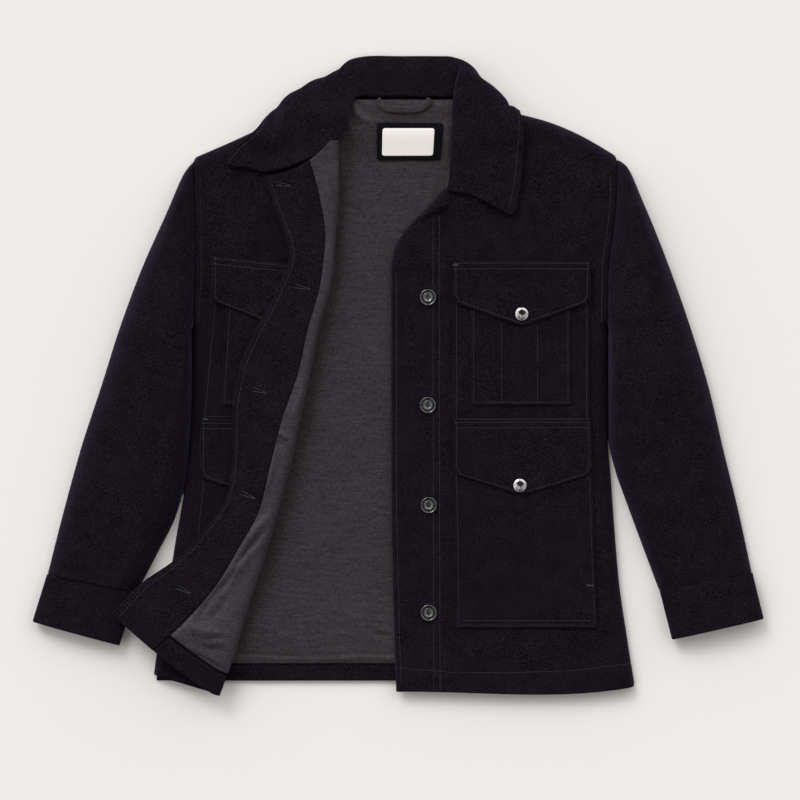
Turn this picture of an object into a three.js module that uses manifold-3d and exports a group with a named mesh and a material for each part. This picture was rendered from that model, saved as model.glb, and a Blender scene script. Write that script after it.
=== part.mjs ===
// A hip-length wool mackinaw jacket, laid out open on a flat surface, face up.
// Millimetres, +Z up. X runs across the garment, +Y from the hem to the collar, and z = 0 is the surface.
// Left and right are the wearer's: the left front lies at +X, the right front at -X, its edge turned back.
import * as THREE from "three";
import { mergeVertices } from "three/addons/utils/BufferGeometryUtils.js";
import Module from "manifold-3d";

const wasm = await Module();
wasm.setup();

// Driving dimensions
const WOOL = 2.6; // thickness of the fulled wool
const COLLAR_WOOL = 2.0; // the collar's cloth is pressed thinner
const LINING = 1.0; // satin lining with its backing
const LINING_EASE = 0.5; // the lining stands this far off the back
const TAPE = 1.2; // hanger loop and the patch behind the label
const LABEL = 0.6;
const SEAM_GAP = 0.3; // daylight between pieces that are sewn together
const SEAM_Z = 0.5; // middle of a wall that wraps down to the surface ends this high
const SEAM_INSET = 2.9; // the back and the under sleeves lie this far inside the wall around them
const CURL = 11; // how far in from a seam the cloth of the fronts starts to curl down
const LEFT_LEVEL = 13.5; // middle of the left front's wool above the surface
const LEFT_EDGE_LEVEL = 11.6; // the same along its front edge
const RIGHT_LEVEL = 10.5; // the same for the right front under its turned-back part
const COLLAR_LIFT = 6.3; // the back lies on the collar's fall, which lifts it by this
const ARMPIT_Y = 60;
const BACK_HEM_Y = -366;
const LINING_HEM_Y = -345;
const BACK_TURN_UP = 38; // wool turned up inside the back's hem
const SHOULDER_TIPS = { left: -245, right: 262 }; // x of the outer ends of the shoulders
const NECK_Y = 334; // y of the back's neck seam
const BUTTON = { radius: 9.9, height: 3.4, rimWidth: 2, dish: 0.9, hole: 1.1, holeReach: 2.3 };
const SNAP = { radius: 8, height: 3.6 };

const { lerp, smoothstep, clamp } = THREE.MathUtils;
const fade = (value, from, to) => 1 - smoothstep(value, from, to);
const steps = (from, to, count) => Array.from({ length: count + 1 }, (_, i) => lerp(from, to, i / count));
const layer = (count) => count * (WOOL + SEAM_GAP);

// Rows of numbers under the names of their columns.
const table = (columns, rows) =>
  rows.map((row) => Object.fromEntries(columns.split(" ").map((name, i) => [name, row[i]])));

// Reads a table at a value of its key column: every other column, as a smooth curve that never overshoots.
function reader(key, rows) {
  const keys = rows.map((row) => row[key]);
  const names = Object.keys(rows[0]).filter((name) => name !== key);
  const slope = (i, name) => {
    if (i === 0 || i === rows.length - 1) return 0;
    const before = (rows[i][name] - rows[i - 1][name]) / (keys[i] - keys[i - 1]);
    const after = (rows[i + 1][name] - rows[i][name]) / (keys[i + 1] - keys[i]);
    return before * after > 0 ? (2 * before * after) / (before + after) : 0;
  };
  const endSlope = (i, j, name) => (rows[j][name] - rows[i][name]) / (keys[j] - keys[i]);
  const last = rows.length - 1;
  const slopes = names.map((name) =>
    rows.map((_, i) => {
      if (i === 0) return endSlope(0, 1, name);
      return i === last ? endSlope(last - 1, last, name) : slope(i, name);
    }),
  );
  return (value) => {
    let i = 0;
    while (i < last - 1 && value > keys[i + 1]) i++;
    const step = keys[i + 1] - keys[i];
    const t = clamp((value - keys[i]) / step, 0, 1);
    const found = {};
    names.forEach((name, n) => {
      const bend = t * t * (3 - 2 * t);
      found[name] =
        lerp(rows[i][name], rows[i + 1][name], bend) +
        t * (1 - t) * (1 - t) * slopes[n][i] * step -
        t * t * (1 - t) * slopes[n][i + 1] * step;
    });
    return found;
  };
}

// Share of its full height that a quarter-round edge has at a distance in from the edge.
const quarterRound = (distance, radius) => Math.sqrt(1 - (1 - clamp(distance / radius, 0, 1)) ** 2);

// A section from edge to edge in three parts, each one unit of u: rounding up, level, rounding down.
function roundedSection(u, length, curl) {
  const angle = (clamp(Math.min(u, 3 - u), 0, 1) * Math.PI) / 2;
  const reach = curl * (1 - Math.cos(angle));
  let along = lerp(curl, length - curl, u - 1);
  if (u < 1) along = reach;
  if (u > 2) along = length - reach;
  return { along, rise: Math.sin(angle) };
}

// Normal of a surface at (u, v), upwards where u runs to +X and v towards the hem.
function normalAt(surface, u, v, ranges) {
  const [du, dv] = [(ranges.u[1] - ranges.u[0]) * 5e-4, (ranges.v[1] - ranges.v[0]) * 5e-4];
  const along = surface(Math.min(u + du, ranges.u[1]), v).sub(surface(Math.max(u - du, ranges.u[0]), v));
  const down = surface(u, Math.min(v + dv, ranges.v[1])).sub(surface(u, Math.max(v - dv, ranges.v[0])));
  return down.cross(along).normalize();
}

// The same surface moved out along its normals.
const moved = (surface, lift, ranges) => (u, v) =>
  surface(u, v).addScaledVector(normalAt(surface, u, v, ranges), lift);

// A closed wall of cloth around a grid of points on a surface. A ring's columns close on themselves, and
// the cells of the rows that are crossed are split along their other diagonal.
function wallGeometry(surface, columns, rows, thickness, { ring = false, crossed = () => false } = {}) {
  const across = columns.length;
  const last = rows.length - 1;
  const spare = ring ? 1 : 0;
  const ranges = { u: [columns[0] - spare, columns[across - 1] + spare], v: [rows[0], rows[last]] };
  const positions = [];
  for (const side of [0.5, -0.5])
    for (const v of rows)
      for (const u of columns) {
        const p = surface(u, v).addScaledVector(normalAt(surface, u, v, ranges), side * thickness);
        positions.push(p.x, p.y, p.z);
      }
  const at = (side, i, j) => (side * rows.length + j) * across + (i % across);
  const index = [];
  const quad = (a, b, c, d) => index.push(a, b, c, a, c, d);
  const face = (j, a, b, c, d) => (crossed(rows[j]) ? quad(b, c, d, a) : quad(a, b, c, d));
  const cells = ring ? across : across - 1;
  for (let j = 0; j < last; j++)
    for (let i = 0; i < cells; i++) {
      face(j, at(0, i, j), at(0, i + 1, j), at(0, i + 1, j + 1), at(0, i, j + 1));
      face(j, at(1, i, j), at(1, i, j + 1), at(1, i + 1, j + 1), at(1, i + 1, j));
    }
  for (let i = 0; i < cells; i++) {
    quad(at(1, i, 0), at(1, i + 1, 0), at(0, i + 1, 0), at(0, i, 0));
    quad(at(0, i, last), at(0, i + 1, last), at(1, i + 1, last), at(1, i, last));
  }
  const far = across - 1;
  for (let j = 0; j < last && !ring; j++) {
    quad(at(0, 0, j), at(0, 0, j + 1), at(1, 0, j + 1), at(1, 0, j));
    quad(at(1, far, j), at(1, far, j + 1), at(0, far, j + 1), at(0, far, j));
  }
  const geometry = new THREE.BufferGeometry();
  geometry.setAttribute("position", new THREE.Float32BufferAttribute(positions, 3));
  geometry.setIndex(index);
  return facingOut(geometry);
}

function clothWall(name, material, ...shape) {
  add(name, wallGeometry(...shape), material);
}

// Turns a closed geometry's faces round if they point inwards.
function facingOut(geometry) {
  const p = geometry.attributes.position;
  const corners = geometry.index.array;
  const [a, b, c] = [new THREE.Vector3(), new THREE.Vector3(), new THREE.Vector3()];
  let volume = 0;
  for (let i = 0; i < corners.length; i += 3) {
    a.fromBufferAttribute(p, corners[i]);
    b.fromBufferAttribute(p, corners[i + 1]);
    c.fromBufferAttribute(p, corners[i + 2]);
    volume += a.dot(b.cross(c));
  }
  if (volume < 0) corners.reverse();
  geometry.computeVertexNormals();
  return geometry;
}

const garment = new THREE.Group();
garment.name = "mackinaw_jacket";

function add(name, geometry, material) {
  const mesh = new THREE.Mesh(geometry, material.clone());
  mesh.name = name;
  garment.add(mesh);
}

const cloth = (color) => new THREE.MeshStandardMaterial({ color, roughness: 0.95, metalness: 0 });
const navyWool = cloth(0x1b1b26);
const greySatin = new THREE.MeshStandardMaterial({ color: 0x4a484a, roughness: 0.45, metalness: 0 });
const blackPlastic = new THREE.MeshStandardMaterial({ color: 0x0b0c0d, roughness: 0.15, metalness: 0 });
const darkMetal = new THREE.MeshStandardMaterial({ color: 0x77787c, roughness: 0.2, metalness: 1 });
const whiteTape = cloth(0xe9e4dc);

// Outline of the body

// Where the armholes and the side seams lie.
const bodySides = reader("down", table("down left right", [
  [-262, -245, 262],
  [-206, -244, 261],
  [-169, -243, 257],
  [-130, -243, 252],
  [-60, -246, 251],
  [0, -246, 251],
  [73, -248, 251],
  [128, -254, 255],
  [197, -266, 260],
  [252, -275, 265],
  [307, -285, 273],
  [370, -294, 283],
]));

const shoulderLine = reader("x", table("x y", [
  [-245, 261],
  [-208, 277],
  [-150, 303],
  [-88, 331],
  [-60, 334],
  [72, 334],
  [98, 331],
  [144, 315],
  [175, 306],
  [209, 293],
  [240, 276.5],
  [262, 263],
]));

// Lift of what lies over the collar's fall.
const collarLift = (x, y) =>
  COLLAR_LIFT * smoothstep(x, -200, -155) * fade(x, 140, 185) * smoothstep(y, 255, 297);

const SHOULDER_SLANT = 0.9; // distance square to the slanting shoulder, as a share of that along y

// Height of a front's middle surface: it curls down to the side seam and the shoulder seam, and
// stays open towards the sleeve between them.
function frontHeight(x, y, level) {
  const sides = bodySides(-y);
  const inward = Math.min(sides.right - x, x - sides.left);
  const open = Math.max(0, y - ARMPIT_Y);
  const belowShoulder = (shoulderLine(x).y - y) * SHOULDER_SLANT;
  const share = quarterRound(inward + open, CURL) * quarterRound(belowShoulder, CURL);
  return SEAM_Z + (level - SEAM_Z) * share + collarLift(x, y);
}

function leftHeight(x, y) {
  const edge = lerp(LEFT_EDGE_LEVEL, LEFT_LEVEL, smoothstep(x, -7, 90));
  const level = lerp(edge, LEFT_LEVEL + 1, smoothstep(y, 112, 140));
  return frontHeight(x, y, level);
}

const rightHeight = (x, y) => frontHeight(x, y, RIGHT_LEVEL);

// A four-cornered piece of a panel that is described by its height: corners in plan, clockwise from the
// upper left.
function patch(height, lift, corners) {
  const [a, b, c, d] = corners.map(([x, y]) => new THREE.Vector2(x, y));
  const onPanel = (u, v) => {
    const p = a.clone().lerp(b, u).lerp(d.clone().lerp(c, u), v);
    return new THREE.Vector3(p.x, p.y, height(p.x, p.y));
  };
  return moved(onPanel, lift, { u: [0, 1], v: [0, 1] });
}

// Back

function backSurface(u, v) {
  const top = shoulderLine(lerp(SHOULDER_TIPS.left, SHOULDER_TIPS.right, u)).y - SEAM_INSET;
  const y = lerp(top, BACK_HEM_Y, v);
  const sides = bodySides(-y);
  const x = lerp(sides.left + SEAM_INSET, sides.right - SEAM_INSET, u);
  return new THREE.Vector3(x, y, WOOL / 2 + collarLift(x, y));
}
const whole = { u: [0, 1], v: [0, 1] };
const topRows = steps(0, 0.12, 11);
const backRows = [...topRows, 0.2, 0.3, 0.4, 0.5, 0.57, 0.64, 0.72, 0.8, 0.9, 1];
const backColumns = [
  0, ...steps(0.08, 0.19, 5), 0.24, 0.29, 0.34, 0.38, 0.63, 0.69, 0.73, ...steps(0.77, 0.89, 5), 1,
];
clothWall("back", navyWool, backSurface, backColumns, backRows, WOOL);

// The wool turned up inside the back's hem. The lining ends on it.
const hemTop = 1 - BACK_TURN_UP / (NECK_Y - BACK_HEM_Y);
const turnUp = moved(backSurface, layer(1), whole);
clothWall("back_hem", navyWool, turnUp, steps(0.03, 0.97, 6), [hemTop, 1], WOOL);

// The back's lining shows between the fronts and runs on a little way under them.
const liningSides = reader("down", table("down left right", [
  [-334, -60, 74],
  [-300, -100, 118],
  [-220, -120, 100],
  [-110, -130, 50],
  [0, -155, 40],
  [150, -200, 40],
  [345, -255, 40],
]));
const LINING_NECK_Y = 331.5;
const HEM_RISE = { start: 24, end: 3 }; // the lining climbs onto the turned-up wool over this run above it
function backLining(u, v) {
  const y = lerp(LINING_NECK_Y, LINING_HEM_Y, v);
  const sides = liningSides(-y);
  const x = lerp(sides.left, sides.right, u);
  const turnUpTop = -BACK_HEM_Y - BACK_TURN_UP;
  const onHem = smoothstep(-y, turnUpTop - HEM_RISE.start, turnUpTop - HEM_RISE.end);
  const z = WOOL + SEAM_GAP + LINING_EASE + LINING / 2 + collarLift(x, y) + onHem * layer(1);
  return new THREE.Vector3(x, y, z);
}
const liningRows = [...topRows, 0.2, 0.3, 0.4, 0.5, 0.6, 0.7, 0.8, 0.88, ...steps(0.93, 0.97, 5), 1];
clothWall("back_lining", greySatin, backLining, steps(0, 1, 6), liningRows, LINING);

// Label and hanger loop on the back's lining

const liningTop = (x, y) => WOOL + SEAM_GAP + LINING_EASE + LINING + collarLift(x, y);
const onLining = (lift, corners) => patch(liningTop, lift, corners);
const labelPatch = [
  [-25.4, 303.8],
  [54.4, 303.2],
  [50.5, 259.2],
  [-25.4, 259.2],
];
const labelCorners = [
  [-18.5, 297],
  [43.9, 297],
  [42, 264.8],
  [-19.2, 264.6],
];
const patchSurface = onLining(SEAM_GAP + TAPE / 2, labelPatch);
clothWall("label_patch", navyWool, patchSurface, [0, 0.5, 1], steps(0, 1, 8), TAPE);
const labelLift = 2 * SEAM_GAP + TAPE + LABEL / 2;
clothWall("label", whiteTape, onLining(labelLift, labelCorners), [0, 0.5, 1], steps(0, 1, 6), LABEL);

const LOOP_WIDTH = 8;
const loopLine = new THREE.CatmullRomCurve3(
  [
    [-24.6, 330],
    [-17.5, 322.5],
    [-8.4, 320],
    [8, 319.6],
    [25.2, 320.4],
    [33, 324],
    [39, 330],
  ].map(([x, y]) => new THREE.Vector3(x, y, liningTop(x, y) + SEAM_GAP + TAPE / 2)),
);
function hangerLoop(u, v) {
  const p = loopLine.getPoint(u);
  const t = loopLine.getTangent(u);
  return p.add(new THREE.Vector3(t.y, -t.x, 0).multiplyScalar((v - 0.5) * LOOP_WIDTH));
}
clothWall("hanger_loop", greySatin, hangerLoop, steps(0, 1, 12), [0, 1], TAPE);

// Left front

// Rows of the left front from its shoulder to its hem: its edge and its side in plan, how much of the edge
// is tucked under, and how round the edge is.
const leftRows = reader("v", table("v edgeX edgeY sideY tuck round", [
  [0, 100, 330, 262, 1.2, 1.6],
  [0.03, 100, 316, 240, 1.2, 1.6],
  [0.06, 100.4, 300, 218, 1.2, 1.6],
  [0.1, 95, 279, 192, 1.2, 1.6],
  [0.14, 88.5, 258, 168, 1.2, 1.6],
  [0.17, 80, 241, 150, 1.2, 1.6],
  [0.2, 69, 226, 132, 1.2, 3],
  [0.215, 59, 221, 123, 50, 4],
  [0.25, 44, 206, 105, 44, 4],
  [0.285, 28, 194, 90, 32, 4],
  [0.32, 11.5, 177, 74, 20, 4],
  [0.35, 1.5, 162.5, 60, 11, 4],
  [0.385, -5, 145.5, 40, 5, 3.4],
  [0.42, -7, 127, 18, 1.2, 2.2],
  [0.56, -7, 10, -75, 1.2, 1.6],
  [0.7, -7, -110, -160, 1.2, 1.6],
  [0.85, -5, -243, -257, 1.2, 1.6],
  [1, -1, -379, -373, 1.2, 1.6],
]));
const HEM_BOW = 7; // the left front's hem bows down by this, most at two thirds of its width
const BOW_PEAK = 4 / 27; // greatest value of the square of a share times its rest
const SHOULDER_REACH = 0.05; // rows above this share of the left front's length bend towards the shoulder

// A point of the left front: u below 1 runs along the tucked edge, then to 2 over the panel, then to 3
// down its side.
function leftFront(u, v) {
  const row = leftRows(v);
  row.sideX = bodySides(-row.sideY).right;
  const quarter = (row.round * Math.PI) / 2;
  const width = row.sideX - row.edgeX;
  let along = 0;
  let drop = 0;
  if (u < 1) {
    const turned = Math.min(row.tuck * 0.5, quarter);
    let arc = lerp(0, quarter, clamp(u * 2 - 1, 0, 1));
    if (u < 0.5) arc = lerp(-turned, 0, clamp(u * 4 - 1, 0, 1));
    if (u < 0.25) arc = lerp(-row.tuck, -turned, u * 4);
    const angle = Math.max(arc, -quarter) / row.round;
    along = row.round * (1 - Math.cos(angle)) + Math.max(0, -arc - quarter);
    drop = row.round * (1 - Math.sin(angle));
  } else if (u < 2) along = lerp(row.round, width - CURL, u - 1);
  else along = width - CURL * (1 - Math.cos(((3 - u) * Math.PI) / 2));
  const share = along / width;
  const bow = ((HEM_BOW * share ** 2 * (1 - share)) / BOW_PEAK) * smoothstep(v, 0.55, 1);
  const x = row.edgeX + along;
  const y = lerp(row.edgeY, row.sideY, share) - bow;
  const start = leftRows(0);
  const toShoulder = shoulderLine(x).y - lerp(start.edgeY, start.sideY, share);
  const bend = Math.max(0, 1 - v / SHOULDER_REACH) * toShoulder * smoothstep(share, 0, 0.1);
  return new THREE.Vector3(x, y + bend, leftHeight(x, y + bend) - drop);
}
const leftColumns = [0, 0.125, 0.25, 0.375, 0.5, 0.66, 0.83, 1, 1.2, 1.4, 1.6, 1.8, 2, 2.33, 2.67, 3];
const leftRowList = [
  0, 0.0025, 0.009, 0.018, 0.03, 0.06, 0.08, 0.1, 0.12, 0.14, 0.17, 0.2, 0.215, 0.25, 0.285,
  0.32, 0.335, 0.35, 0.385, 0.42, 0.4375, 0.455, 0.49, 0.56, 0.63, 0.7, 0.78, 0.85, 0.9, 0.95, 1,
];
clothWall("left_front", navyWool, leftFront, leftColumns, leftRowList, WOOL);

// Right front: its lower run lies face up, folds over at R and lies on it face down

// Rows of the right front from neck to hem, in plan: its side, the outermost line of the fold, the inner
// edge of its facing, its front edge; then how round the fold is and how high the front edge lies.
const rightRows = reader("v", table("v sideY foldX foldY faceX faceY edgeX edgeY round edgeZ", [
  [0, 261, -72, 283, -106, 259, -163, 240, 7, 15],
  [0.083, 208, -71, 226, -94, 215.5, -145, 193, 6.5, 17],
  [0.167, 160, -75, 169, -87, 164, -130, 146, 5.8, 22.6],
  [0.25, 112, -80, 112, -93, 109, -147, 99, 6, 23.2],
  [0.333, 60, -95, 57, -108, 56, -172, 53, 6, 23.2],
  [0.417, 8, -106, 1, -120, 2.3, -190, 9, 6.5, 22.5],
  [0.5, -45, -118, -55, -139, -53, -198, -41, 8, 21],
  [0.583, -97, -130, -111, -152, -105, -198, -92, 8, 21],
  [0.667, -150, -145, -166, -165, -158, -204, -141, 7.5, 21],
  [0.75, -205, -161, -221, -190, -205, -231, -183, 8, 20.5],
  [0.833, -257, -179, -275, -218, -251, -266, -219, 8, 21],
  [0.917, -306, -195, -330, -254, -292, -307, -248, 7, 24],
  [1, -359, -214, -383, -293, -328, -342, -284, 6, 25],
]));
// The lower run's first row follows the shoulder and the neckline instead of a straight line.
const rightTop = reader("u", table("u x y", [
  [0, -245, 261],
  [0.2, -208, 277],
  [0.5, -150, 303],
  [0.78, -100, 325.5],
  [0.88, -76, 318],
  [1, -81, 283],
]));
const TOP_REACH = 0.14; // rows above this share of the length bend towards the shoulder

// Frame of a row: the middle of the fold and the direction square to the fold, in plan.
function foldFrame(v) {
  const row = rightRows(v);
  row.sideX = bodySides(-row.sideY).left;
  const [a, b] = [rightRows(Math.max(0, v - 0.03)), rightRows(Math.min(1, v + 0.03))];
  const out = new THREE.Vector2(a.foldY - b.foldY, b.foldX - a.foldX).normalize();
  const coverZ = WOOL / 2 + SEAM_GAP + LINING;
  const middle = new THREE.Vector2(row.foldX, row.foldY).addScaledVector(out, -row.round - coverZ);
  return { row, out, middle };
}

// A point of the right front: u below 1 rounds up at its side, then to 2 over the lower run, then to 3
// round the fold, then to 4 over the turned-back part to the front edge.
function rightFront(u, v) {
  const { row, out, middle } = foldFrame(v);
  const low = rightHeight(middle.x, middle.y);
  if (u > 3) {
    const edge = new THREE.Vector2(row.edgeX, row.edgeY);
    const face = new THREE.Vector2(row.faceX, row.faceY);
    const toFace = face.distanceTo(edge);
    const share = toFace / (toFace + face.distanceTo(middle));
    const k = 4 - u;
    const p = edge
      .multiplyScalar(((k - share) * (k - 1)) / share)
      .addScaledVector(face, (k * (k - 1)) / (share * (share - 1)))
      .addScaledVector(middle, (k * (k - share)) / (1 - share));
    return new THREE.Vector3(p.x, p.y, lerp(row.edgeZ, low + 2 * row.round, smoothstep(k, 0, 1)));
  }
  if (u > 2) {
    const angle = (u - 2.5) * Math.PI;
    const p = middle.addScaledVector(out, row.round * Math.cos(angle));
    return new THREE.Vector3(p.x, p.y, low + row.round * (1 + Math.sin(angle)));
  }
  const side = new THREE.Vector2(row.sideX, row.sideY);
  const width = side.distanceTo(middle);
  const reach = CURL * (1 - Math.cos((Math.min(u, 1) * Math.PI) / 2));
  const along = u < 1 ? reach : lerp(CURL, width, u - 1);
  const p = side.clone().lerp(middle, along / width);
  const bent = rightTop(along / width);
  const first = foldFrame(0);
  const start = new THREE.Vector2(first.row.sideX, first.row.sideY).lerp(first.middle, along / width);
  const share = (1 - Math.min(1, v / TOP_REACH)) ** 2;
  p.x += share * (bent.x - start.x);
  p.y += share * (bent.y - start.y);
  return new THREE.Vector3(p.x, p.y, rightHeight(p.x, p.y));
}
const rightRanges = { u: [0, 4], v: [0, 1] };
const rightColumns = [
  0, 0.33, 0.67, 1, 1.25, 1.5, 1.75, 1.9, 2, 2.17, 2.33, 2.5, 2.67, 2.83, 3, 3.15, 3.4, 3.65, 3.85, 4,
];
const rightRowList = [
  0, 0.003, 0.009, 0.02, 0.045, 0.083, 0.125, 0.167, 0.21, 0.25, 0.29, 0.333, 0.375, 0.417, 0.46, 0.5, 0.54,
  0.583, 0.625, 0.667, 0.71, 0.75, 0.79, 0.833, 0.875, 0.917, 0.96, 1,
];
clothWall("right_front", navyWool, rightFront, rightColumns, rightRowList, WOOL);

// Pieces on the inner side of the turned-back part, which is its upper side.
const rightInner = (lift) => moved(rightFront, -lift, rightRanges);
function facingStart(v) {
  const { row, middle } = foldFrame(v);
  const face = new THREE.Vector2(row.faceX, row.faceY);
  const toFace = Math.hypot(row.faceX - row.edgeX, row.faceY - row.edgeY);
  return 4 - toFace / (toFace + face.distanceTo(middle));
}
const EDGE_SETBACK = 0.03; // the facing ends this share of the part's width short of the front edge
const FACING_EASE = 0.2;
const facing = (u, v) => rightInner(layer(1) + FACING_EASE)(lerp(facingStart(v), 4 - EDGE_SETBACK, u), v);
const facingColumns = [0, 0.15, 0.4, 0.65, 0.85, 0.95, 1];
clothWall("right_facing", navyWool, facing, facingColumns, rightRowList.slice(3), WOOL);

const HEM_SHARE = 0.96; // the turned-back part's lining ends here, above the hem's wool
const HEM_SEAM = 0.003; // half the seam between them, as a share of the part's length
const FACING_SEAM = 0.05; // the lining stops this share of the part's width short of the facing
const foldedTo = (u, v) => (u > 3 ? lerp(3, facingStart(v) - FACING_SEAM, u - 3) : u);
const hemStrip = (u, v) => rightInner(layer(1))(foldedTo(u, v), v);
clothWall("right_hem", navyWool, hemStrip, [2.67, 2.83, 3, 3.5, 4], [HEM_SHARE + HEM_SEAM, 0.98, 1], WOOL);
const liningLift = WOOL / 2 + 3 * SEAM_GAP + LINING / 2;
const foldLining = (u, v) => rightInner(liningLift)(foldedTo(u, v), v);
const foldColumns = [2.17, 2.33, 2.5, 2.67, 2.83, 3, 3.5, 4];
const foldRows = [...rightRowList.slice(3, 26), HEM_SHARE - HEM_SEAM];
clothWall("right_lining", greySatin, foldLining, foldColumns, foldRows, LINING);

// Sleeves

// Rows of a sleeve from the armhole to the cuff: its outer and inner contours in plan, its height and how
// far in from them it is rounded.
const leftSleeve = table("t outX outY inX inY height curl", [
  [0, 262.5, 260.5, 254.8, 62, LEFT_LEVEL, 11],
  [0.02, 265, 259.5, 254.8, 58, LEFT_LEVEL + 0.4, 12],
  [0.08, 275, 253, 255, 38, 20, 20],
  [0.2, 293, 210, 255, 8, 28, 30],
  [0.35, 321.5, 140, 255, -32, 31, 34],
  [0.5, 349.5, 61, 255.5, -75, 31, 34],
  [0.63, 373, -16.5, 262, -112, 29, 33],
  [0.76, 390, -89, 276, -152, 26, 31],
  [0.88, 407, -158, 293, -198, 23, 28],
  [1, 424, -236, 315, -257, 20, 24],
]);
const rightSleeve = table("t outX outY inX inY height curl", [
  [0, -245.5, 259.5, -250, 62, RIGHT_LEVEL, 11],
  [0.02, -248, 257, -250, 58, RIGHT_LEVEL + 0.4, 12],
  [0.08, -257.8, 245.2, -250, 38, 18, 20],
  [0.2, -279.2, 195.3, -250.2, 5, 28, 30],
  [0.35, -307.5, 127, -251.6, -38, 31, 34],
  [0.5, -334.5, 54, -254.5, -80, 31, 34],
  [0.63, -356, -14, -259.5, -118, 29, 33],
  [0.76, -379, -84, -269, -166, 26, 31],
  [0.88, -400, -160, -290, -212, 23, 28],
  [1, -420, -238, -315, -259, 20, 24],
]);
const ARMHOLE_GAP = 0.95; // from the armhole's edge to the middle of the sleeve's wool
const sleeveRows = [
  0, 0.02, 0.045, 0.08, 0.14, 0.2, 0.275, 0.35, 0.425, 0.5, 0.565, 0.63, 0.7, 0.76, 0.82, 0.88, 0.94, 1,
];
const sleeveColumns = [0, 0.33, 0.67, 1, 1.25, 1.5, 1.75, 2, 2.33, 2.67, 3];

function sleeve(side, contours, outward) {
  const rows = reader("t", contours);
  // Moves a section's point by as much as the armhole leaves the straight line of the first section there.
  const onArmhole = (plain) => (u, t) => {
    const [p, start] = [plain(u, t), plain(u, 0)];
    const sides = bodySides(-start.y);
    const edge = (outward > 0 ? sides.right : sides.left) + outward * ARMHOLE_GAP;
    p.x += (edge - start.x) * fade(t, 0, 0.15) * smoothstep(start.y, ARMPIT_Y + 4, ARMPIT_Y + 24);
    return p;
  };
  const top = onArmhole((u, t) => {
    const row = rows(t);
    const [outer, inner] = [new THREE.Vector2(row.outX, row.outY), new THREE.Vector2(row.inX, row.inY)];
    const section = roundedSection(u, outer.distanceTo(inner), row.curl);
    const p = outer.lerp(inner, section.along / outer.distanceTo(inner));
    return new THREE.Vector3(p.x, p.y, SEAM_Z + (row.height - SEAM_Z) * section.rise);
  });
  const under = onArmhole((u, t) => {
    const [row, before, after] = [rows(t), rows(Math.max(0, t - 0.01)), rows(Math.min(1, t + 0.01))];
    const inset = (x, y, dx, dy, towards) => {
      const across = new THREE.Vector2(dy, -dx).normalize();
      const sign = Math.sign(across.dot(new THREE.Vector2(towards.x - x, towards.y - y)));
      return new THREE.Vector2(x, y).addScaledVector(across, sign * SEAM_INSET);
    };
    const [outer, inner] = [new THREE.Vector2(row.outX, row.outY), new THREE.Vector2(row.inX, row.inY)];
    const from = inset(outer.x, outer.y, after.outX - before.outX, after.outY - before.outY, inner);
    const to = inset(inner.x, inner.y, after.inX - before.inX, after.inY - before.inY, outer);
    const p = from.lerp(to, u);
    return new THREE.Vector3(p.x, p.y, WOOL / 2);
  });
  clothWall(side + "_sleeve_top", navyWool, top, sleeveColumns, sleeveRows, WOOL);
  clothWall(side + "_sleeve_under", navyWool, under, steps(0, 1, 4), sleeveRows, WOOL);
}
sleeve("left", leftSleeve, 1);
sleeve("right", rightSleeve, -1);

// A cuff: a flattened ring from the sleeve's seam to its end.
const CUFF_SQUARENESS = 2.8; // exponent of the ring's oval
const CUFF_SIDES = 20;
function cuff(side, { seamOut, seamIn, endOut, endIn, height }) {
  const [a, b, c, d] = [seamOut, seamIn, endOut, endIn].map(([x, y]) => new THREE.Vector2(x, y));
  const ring = (u, v) => {
    const outer = a.clone().lerp(c, v);
    const inner = b.clone().lerp(d, v);
    const angle = (u / CUFF_SIDES) * 2 * Math.PI;
    const round = (value) => Math.sign(value) * Math.abs(value) ** (2 / CUFF_SQUARENESS);
    const p = outer.clone().lerp(inner, 0.5 - 0.5 * round(Math.cos(angle)));
    const rise = (height - WOOL / 2) / 2;
    return new THREE.Vector3(p.x, p.y, WOOL / 2 + rise * (1 + round(Math.sin(angle))));
  };
  const around = steps(0, CUFF_SIDES - 1, CUFF_SIDES - 1);
  clothWall(side + "_cuff", navyWool, ring, around, [0, 0.5, 1], WOOL, { ring: true });
}
cuff("left", {
  seamOut: [424.1, -236.5],
  seamIn: [315.1, -257.5],
  endOut: [437.5, -291.5],
  endIn: [330, -316],
  height: 20,
});
cuff("right", {
  seamOut: [-420.1, -238.5],
  seamIn: [-315.1, -259.5],
  endOut: [-437.5, -295],
  endIn: [-335.5, -323],
  height: 18,
});

// Pockets

// A flap with a pointed lower edge: corners in plan, clockwise from the upper left, the point among them.
function flap(height, lift, [upperLeft, upperRight, lowerRight, point, lowerLeft]) {
  const share = (point[0] - lowerLeft[0]) / (lowerRight[0] - lowerLeft[0]);
  const mix = (a, b, t) => [lerp(a[0], b[0], t), lerp(a[1], b[1], t)];
  const onPanel = (u, v) => {
    const along = u < 0.5 ? mix(lowerLeft, point, u * 2) : mix(point, lowerRight, u * 2 - 1);
    const across = u < 0.5 ? lerp(0, share, u * 2) : lerp(share, 1, u * 2 - 1);
    const [x, y] = mix(mix(upperLeft, upperRight, across), along, v);
    return new THREE.Vector3(x, y, height(x, y));
  };
  return moved(onPanel, lift, whole);
}

const FLAP_EASE = 0.2; // a flap stands this far off what it covers

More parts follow.
